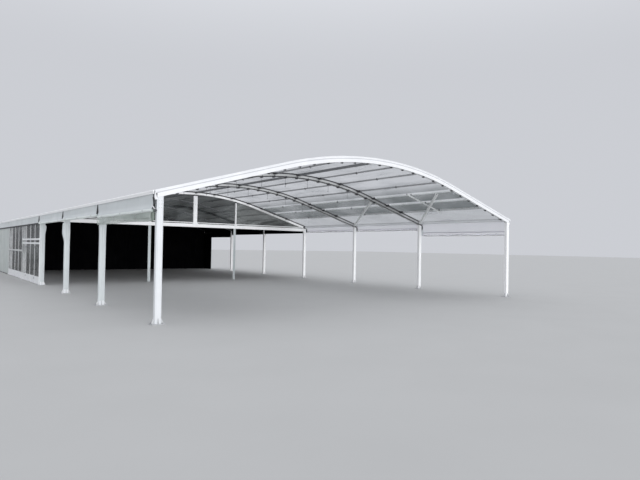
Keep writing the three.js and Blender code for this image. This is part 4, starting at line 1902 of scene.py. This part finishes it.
@dataclass(frozen=True)
class Curtain:
    """One pleated cloth that hangs along a straight line from a top edge to the ground."""

    name: str
    start: tuple[float, float]
    end: tuple[float, float]
    out: tuple[float, float]
    top: Callable[[float], float]
    foot: float
    pleat: float
    depth: float
    finish: Finish
    rests_on: tuple[str, ...]
    held: str = "hung"
    levels: int = 14
    seed: float = 1.0

    def swing(self, u: float, t: float) -> float:
        """Distance of the cloth from its line.

        Args:
            u: Distance along the line.
            t: Share of the way down.

        Returns:
            The distance, positive outwards.
        """
        drift = 0.9 * wobble(u * 0.9, t * 0.7, self.seed)
        height = 0.75 + 0.5 * wobble(u * 1.7, t * 1.1, self.seed + 4)
        fold = sin(2 * pi * u / self.pleat + 2.2 * drift)
        crisp = copysign(abs(fold) ** 0.7, fold)
        limit = self.depth * (0.55 + 0.45 * smooth(t * 2.5))
        ruffle = 0.12 * self.depth * wobble(u * 7, t * 5, 2.0)
        return max(-self.depth, min(self.depth, limit * height * crisp + ruffle))

    def build(self) -> bpy.types.Object:
        """Builds the cloth with a turned hem.

        Returns:
            The cloth.
        """
        first, last = Vector((*self.start, 0)), Vector((*self.end, 0))
        length = (last - first).length
        along = (last - first) / length
        out = Vector((*self.out, 0))
        places = steps(0, length, max(24, round(length / self.pleat * 9)))
        rows = []
        for t in steps(0, 1, self.levels):
            row = []
            for u in places:
                base = first + along * u
                top = self.top(base.x)
                hem = 0.004 * smooth((t - 0.96) / 0.04)
                row.append(base + out * (self.swing(u, t) + hem) + Vector((0, 0, top + (self.foot - top) * t)))
            rows.append(row)
        shape = Shape()
        shape.skin(rows)
        made = shape.build(self.name, [self.finish], sharp=80)
        widths = [running_lengths(row)[-1] for row in rows[::4]]
        tall = max(self.top(first.x + along.x * u) for u in places) - self.foot
        area = sum(self.top(first.x + along.x * u) - self.foot for u in places) / len(places) * max(widths)
        list(self.rests_on)
        return made


@dataclass
class ClothWalls:
    """Pleated cloth walls of the last bays, the dark drape inside them and the weights at their foot."""

    wall_x: float = 7.923
    side_start: float = 10.0
    rear: float = 15.0
    rear_reach: float = 7.7297
    foot: float = 0.0153
    track_top: float = 3.12

    def under_eave(self, _: float) -> float:
        """Height of the side wall's top edge."""
        return LINES.point(LINES.end, 0, LINES.rafter_depth).z - 0.0005

    def under_rafter(self, x: float) -> float:
        """Height of the rear rafter's underside."""
        return LINES.at_x(x, LINES.rafter_depth) - 0.001

    def over_rafter(self, x: float) -> float:
        """Height of the drape's top edge on the rear rafter's inner face."""
        return LINES.at_x(x, 0.14)

    def build(self) -> None:
        """Builds the outer cloths, the drapes and the foot bars."""
        side = Curtain("cloth_wall_left", (-self.wall_x, self.side_start), (-self.wall_x, self.rear + 0.06), (-1, 0),
                       self.under_eave, self.foot, 0.17, 0.022, SIDE_CLOTH, ("eave_bar_left",), levels=22)
        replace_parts(side.build(), "fabric_wall_left")
        y = self.rear + 0.008
        rear = Curtain("cloth_wall_rear", (-self.rear_reach, y), (self.rear_reach, y), (0, 1), self.under_rafter,
                       self.foot, 0.62, 0.007, WHITE_CLOTH, ("rafter_7",), levels=22, seed=3.0)
        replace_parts(rear.build(), "fabric_wall_rear")
        drape_y = self.rear - 0.088
        drape = Curtain("dark_drape_rear", (-self.rear_reach, drape_y), (self.rear_reach, drape_y), (0, -1),
                        self.over_rafter, 0.004, 0.23, 0.022, BLACK_DRAPE, ("rafter_7",), "gathered", seed=6.0)
        drape.build()
        corner = self.rear_reach - 0.03
        turn = Curtain("dark_drape_corner", (corner, drape_y), (corner, self.rear - 1.6), (-1, 0),
                       lambda _: self.track_top, 0.004, 0.21, 0.024, BLACK_DRAPE, ("drape_track",), "gathered",
                       seed=8.0)
        turn.build()
        self.track(corner)
        self.foot_bars()

    def track(self, x: float) -> None:
        """Builds the dark track that carries the drape's return, with its brackets to the eave beam.

        Args:
            x: X of the return.
        """
        shape = Shape()
        shape.block((x, self.rear - 0.85, self.track_top + 0.015), (0.03, 1.56, 0.03), chamfer=0.004)
        for y in (self.rear - 0.2, self.rear - 0.85, self.rear - 1.5):
            shape.block((x + 0.07, y, self.track_top + 0.022), (0.16, 0.03, 0.012), chamfer=0.003)
            shape.block((x + 0.144, y, self.track_top + 0.04), (0.012, 0.03, 0.09), chamfer=0.003)
        shape.build("drape_track", [DARK_STEEL])

    def foot_bars(self) -> None:
        """Builds the dark bars that hold the walls' hems down."""
        shape = Shape()
        middle = (self.side_start + self.rear) / 2
        shape.block((-self.wall_x - 0.02, middle + 0.03, 0.032), (0.016, 5.0, 0.036), chamfer=0.006)
        for y in steps(self.side_start + 0.4, self.rear - 0.4, 5):
            shape.block((-self.wall_x - 0.03, y, 0.034), (0.012, 0.05, 0.052), chamfer=0.004, finish=1)
        shape.block((0, self.rear + 0.02, 0.032), (2 * self.rear_reach - 0.02, 0.012, 0.036), chamfer=0.004)
        shape.build("wall_foot_bars", [DARK_SEAL_AND_SHADE, PALE_STEEL])


@dataclass(frozen=True)
class Bundle:
    """Loose cloth bunched up at the head of one wrapped leg: its growth, its shift in X and where it starts."""

    number: int
    growth: float
    lean: float
    foot: float


@dataclass
class LegWraps:
    """Gathered white cloth round three left legs, and the gathered curtains in the gable."""

    radius: tuple[float, float] = (0.098, 0.074)
    squareness: float = 6.0
    top: float = 3.10
    roll: float = 2.9
    foot: float = 0.16
    folds: int = 9
    tie: float = 2.72
    x: float = -7.815
    fold_depth: float = 0.0045
    dent: float = 0.002
    bundles: tuple[Bundle, ...] = (Bundle(2, 0.06, 0.0, 2.3), Bundle(3, 0.34, -0.033, 2.05), Bundle(4, 0.3, 0.02, 2.4))

    def build(self) -> None:
        """Builds the wraps of left legs 2 to 4 and the gable's curtains."""
        for bundle in self.bundles:
            self.wrap(bundle)
        self.curtain()

    def wrap(self, bundle: Bundle) -> None:
        """Builds the cloth round one leg, tied below its head.

        Args:
            bundle: The leg's number and the cloth bunched up at its head.
        """
        number = bundle.number
        sides = self.folds * 8
        rows = []
        for t in steps(0, 1, 44):
            z = self.top + (self.foot - self.top) * t
            waist = exp(-((z - self.tie) / 0.09) ** 2)
            belly = smooth((z - bundle.foot) / 0.4) * smooth((self.roll - z) / 0.1)
            centre = Vector((self.x + bundle.lean * belly, LINES.frame_y(number), 0))
            grow = 1 - 0.03 * waist + bundle.growth * belly
            row = []
            for a in ring_angles(sides):
                drift = 0.8 * wobble(cos(a) * 1.5, z * 0.5, number)
                drift += 0.5 * wobble(sin(a) * 2.0, z * 0.9, 4.0)
                fold = sin(self.folds * a + 2.4 * drift)
                swell = self.fold_depth * fold * (1 + belly - 0.5 * waist)
                swell += self.dent * wobble(cos(a) * 4, z * 5 + sin(a), number)
                box = sum(abs(part / half) ** self.squareness for part, half in zip((cos(a), sin(a)), self.radius))
                reach = grow * box ** (-1 / self.squareness) + swell
                row.append(centre + Vector((reach * cos(a), reach * sin(a), z)))
            rows.append(row)
        shape = Shape()
        shape.skin([[*row, row[0]] for row in rows])
        made = shape.build(f"leg_wrap_left_{number}", [WHITE_CLOTH], sharp=80)
        girth = max(running_lengths([*row, row[0]])[-1] for row in rows)
        self.top - self.foot

    def curtain(self) -> None:
        """Builds the two narrow gathered curtains under the tie beam."""
        for side, x in ((Side.LEFT, -2.61), (Side.RIGHT, 2.58)):
            hang = Curtain(f"gable_curtain_{side.label}", (x - 0.08, 0.0), (x + 0.08, 0.0), (0, -1), lambda _: 3.074,
                           0.02, 0.042, 0.032, WHITE_CLOTH, ("gable_beam",), "gathered", levels=30,
                           seed=12.0 + side.value)
            hang.build()


@dataclass
class CornerTrim:
    """Small cloth and fittings at the front corners, and the dark lining inside the last right flaps."""

    lining_x: float = 7.775
    lining_top: float = 3.33
    return_depth: float = 0.105
    return_start: float = 6.7
    lining_feet: tuple[float, ...] = (2.95, 2.925, 2.74)

    def build(self) -> None:
        """Builds the lining, the corner strap with its knob, the cloth tail and the hooks."""
        self.lining()
        self.corner_strap()
        self.tail()
        self.hooks()

    def lining(self) -> None:
        """Builds the dark lining of the right flaps in the opaque bays."""
        for bay, foot in enumerate(self.lining_feet, CLEAR_BAYS + 1):
            start, end = LINES.frame_y(bay) + 0.07, LINES.frame_y(bay + 1) - 0.07
            inner = LINES.arc_at_x(self.lining_x, self.return_depth) - 0.02
            rows = []
            for y in steps(start, end, 60):
                row = [LINES.point(s, y, self.return_depth) for s in steps(self.return_start, inner, 8)]
                row.extend(Vector((self.lining_x + 0.004 * wobble(y * 1.5, z, bay), y, z))
                           for z in steps(self.lining_top, foot, 6))
                rows.append(row)
            shape = Shape()
            shape.skin(rows)
            made = shape.build(f"dark_lining_right_{bay}", [BLACK_DRAPE], sharp=80)
            running_lengths(rows[0])[-1]

    def corner_strap(self) -> None:
        """Builds the short white strap from the front left flap to its leg, with a dark knob."""
        shape = Shape()
        path = [Vector((-8.0, -14.972, 3.02)), Vector((-7.968, -15.02, 2.965)), Vector((-7.93, -15.045, 2.90))]
        rows = [[p + Vector((0, 0, dz)) for dz in (-0.0225, 0.0225)] for p in path]
        shape.skin(rows)
        shape.skin([[p + Vector((-0.002, -0.002, 0)) for p in reversed(row)] for row in rows])
        for low, high, radius in ((0.0, 0.022, 0.036), (0.022, 0.066, 0.028), (0.066, 0.08, 0.018)):
            foot = Vector((-7.938, -15.03, 2.895))
            shape.rod([foot - Vector((0, low, 0)), foot - Vector((0, high, 0))], radius, 14, finish=1)
        shape.build("corner_strap_left", [WHITE_STRAP, DARK_STEEL])

    def tail(self) -> None:
        """Builds the loose tail of cloth beside the second right leg."""
        rows = []
        for t in steps(0, 1, 12):
            z = 3.04 - 0.33 * t
            row = []
            for k in range(17):
                a = pi * k / 16
                swing = 0.016 * sin(5 * a + 3 * t) * (1 - 0.4 * t)
                row.append(Vector((7.935 - (0.045 - 0.012 * t + swing) * cos(a),
                                   -10.085 - (0.022 + 0.6 * swing) * sin(a), z + 0.01 * cos(2 * a))))
            rows.append(row)
        shape = Shape()
        shape.skin(rows)
        made = shape.build("flap_tail_right", [WHITE_CLOTH], sharp=80)
        running_lengths(rows[0])[-1]

    def hooks(self) -> None:
        """Builds the small dark hooks under the front rafter's right end."""
        shape = Shape()
        for x in (7.2, 7.42, 7.62):
            s = LINES.arc_at_x(x, 0.2)
            top = LINES.point(s, -15.0, 0.202)
            path = [top, top - Vector((0, 0, 0.04))]
            path.extend(path[1] + Vector((0.014 * sin(a), 0, -0.014 + 0.014 * cos(a)))
                        for a in steps(0.4, 4.4, 8))
            shape.rod(path, 0.004, 6)
            shape.block(top, (0.03, 0.03, 0.008), LINES.turn(s), 0.002)
        shape.build("corner_hooks_right", [DARK_STEEL])


@dataclass
class Stage:
    """Camera of the photograph's view, pale floor and soft light."""

    place: tuple[float, float, float] = (-12.767, -27.994, 2.022)
    yaw: float = radians(38.042)
    pitch: float = radians(0.83)
    roll: float = radians(0.961)
    focal: float = 521.49
    image_width: float = 640.0
    sensor: float = 36.0
    horizon: Colour = (0.60, 0.615, 0.655)
    zenith: Colour = (1.40, 1.44, 1.51)
    ground: Colour = (0.50, 0.50, 0.49)
    sky_rise: tuple[float, float] = (0.30, 0.95)
    ground_edge: tuple[float, float] = (-0.05, -0.15)
    sun_from: tuple[float, float, float] = (-0.02, -0.99, 0.05)
    sun_strength: float = 1.5
    front_light: Colour = (0.85, 0.86, 0.90)
    front_from: tuple[float, float, float] = (-0.40, -0.92, 0.0)
    front_fade: tuple[float, float] = (0.0, 0.8)

    def camera(self) -> None:
        """Builds the camera."""
        data = bpy.data.cameras.new("view")
        data.sensor_width = self.sensor
        data.lens = self.focal / self.image_width * self.sensor
        data.clip_end = 500.0
        made = bpy.data.objects.new("view", data)
        bpy.context.scene.collection.objects.link(made)
        right = Vector((cos(self.yaw), -sin(self.yaw), 0.0))
        ahead = Vector((sin(self.yaw) * cos(self.pitch), cos(self.yaw) * cos(self.pitch), sin(self.pitch)))
        up = right.cross(ahead)
        rolled_right = right * cos(self.roll) + up * sin(self.roll)
        rolled_up = up * cos(self.roll) - right * sin(self.roll)
        turned = Matrix((rolled_right, rolled_up, -ahead)).transposed().to_4x4()
        made.matrix_world = Matrix.Translation(self.place) @ turned
        bpy.context.scene.camera = made

    def floor(self) -> None:
        """Builds the floor, which isn't part of the tent."""
        half = 220.0
        mesh = bpy.data.meshes.new("floor")
        mesh.from_pydata([(-half, -half, 0), (half, -half, 0), (half, half, 0), (-half, half, 0)], [], [(0, 1, 2, 3)])
        mesh.materials.append(material_of(FLOOR))
        made = bpy.data.objects.new("floor", mesh)
        made.visible_shadow = False
        bpy.context.scene.collection.objects.link(made)

    def light(self) -> None:
        """Builds a pale sky that brightens upwards, light thrown up by the ground, and a low soft front light."""
        world = bpy.data.worlds.new("overcast")
        world.use_nodes = True
        sky = NodeSketch(world.node_tree)
        place = sky.add("ShaderNodeTexCoord").outputs["Generated"]
        height = sky.add("ShaderNodeSeparateXYZ", {"Vector": place}).outputs["Z"]
        facing = sky.add("ShaderNodeVectorMath", {0: place, 1: self.front_from}, operation="DOT_PRODUCT")
        upper = sky.blend(sky.spread(height, self.sky_rise, curve="SMOOTHSTEP"), self.horizon, self.zenith)
        near = sky.spread(facing.outputs["Value"], self.front_fade, curve="SMOOTHSTEP")
        below = sky.spread(height, self.ground_edge)
        colour = sky.blend(below, sky.blend(near, upper, self.front_light), self.ground)
        sky.give(sky.tree.nodes["Background"].inputs["Color"], colour)
        bpy.context.scene.world = world
        data = bpy.data.lights.new("soft sun", "SUN")
        data.energy = self.sun_strength
        data.angle = radians(20)
        made = bpy.data.objects.new("soft sun", data)
        made.rotation_euler = Vector(self.sun_from).to_track_quat("Z", "Y").to_euler()
        bpy.context.scene.collection.objects.link(made)
        bpy.context.scene.view_settings.view_transform = "Standard"

    def build(self) -> None:
        """Builds the camera, the floor and the light."""
        self.camera()
        self.floor()
        self.light()


class Assembly(Protocol):
    """Anything that builds its own pieces."""

    def build(self) -> None:
        """Builds the pieces."""


def report(title: str, before: set[str]) -> set[str]:
    """Logs each piece made since the last report.

    Args:
        title: Name of the sub-assembly.
        before: Names of the objects that were there already.

    Returns:
        The names of all objects now.
    """
    now = {o.name for o in bpy.data.objects}
    for name in sorted(now - before):
        log.info("%s: %s", title, name)
    return now


def main() -> None:
    """Loads the frame, builds every sub-assembly in order and logs its pieces."""
    logging.basicConfig(level=logging.INFO, format="%(message)s")
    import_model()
    seen = {o.name for o in bpy.data.objects}
    parts: Iterable[tuple[str, Assembly]] = (
        ("stage", Stage()),
        ("rafters", Rafters()),
        ("legs", Legs()),
        ("roof bars", RoofBars()),
        ("roof fittings", RoofFittings()),
        ("roof sheets", RoofSheets()),
        ("bracing", Bracing()),
        ("gable", Gable()),
        ("divider rail", DividerRail()),
        ("eave flaps", EaveFlaps()),
        ("film bag", FilmBag()),
        ("glazed wall", GlazedWall()),
        ("cloth walls", ClothWalls()),
        ("leg wraps", LegWraps()),
        ("corner trim", CornerTrim()),
    )
    for title, part in parts:
        part.build()
        seen = report(title, seen)


if __name__ == "__main__":
    main()
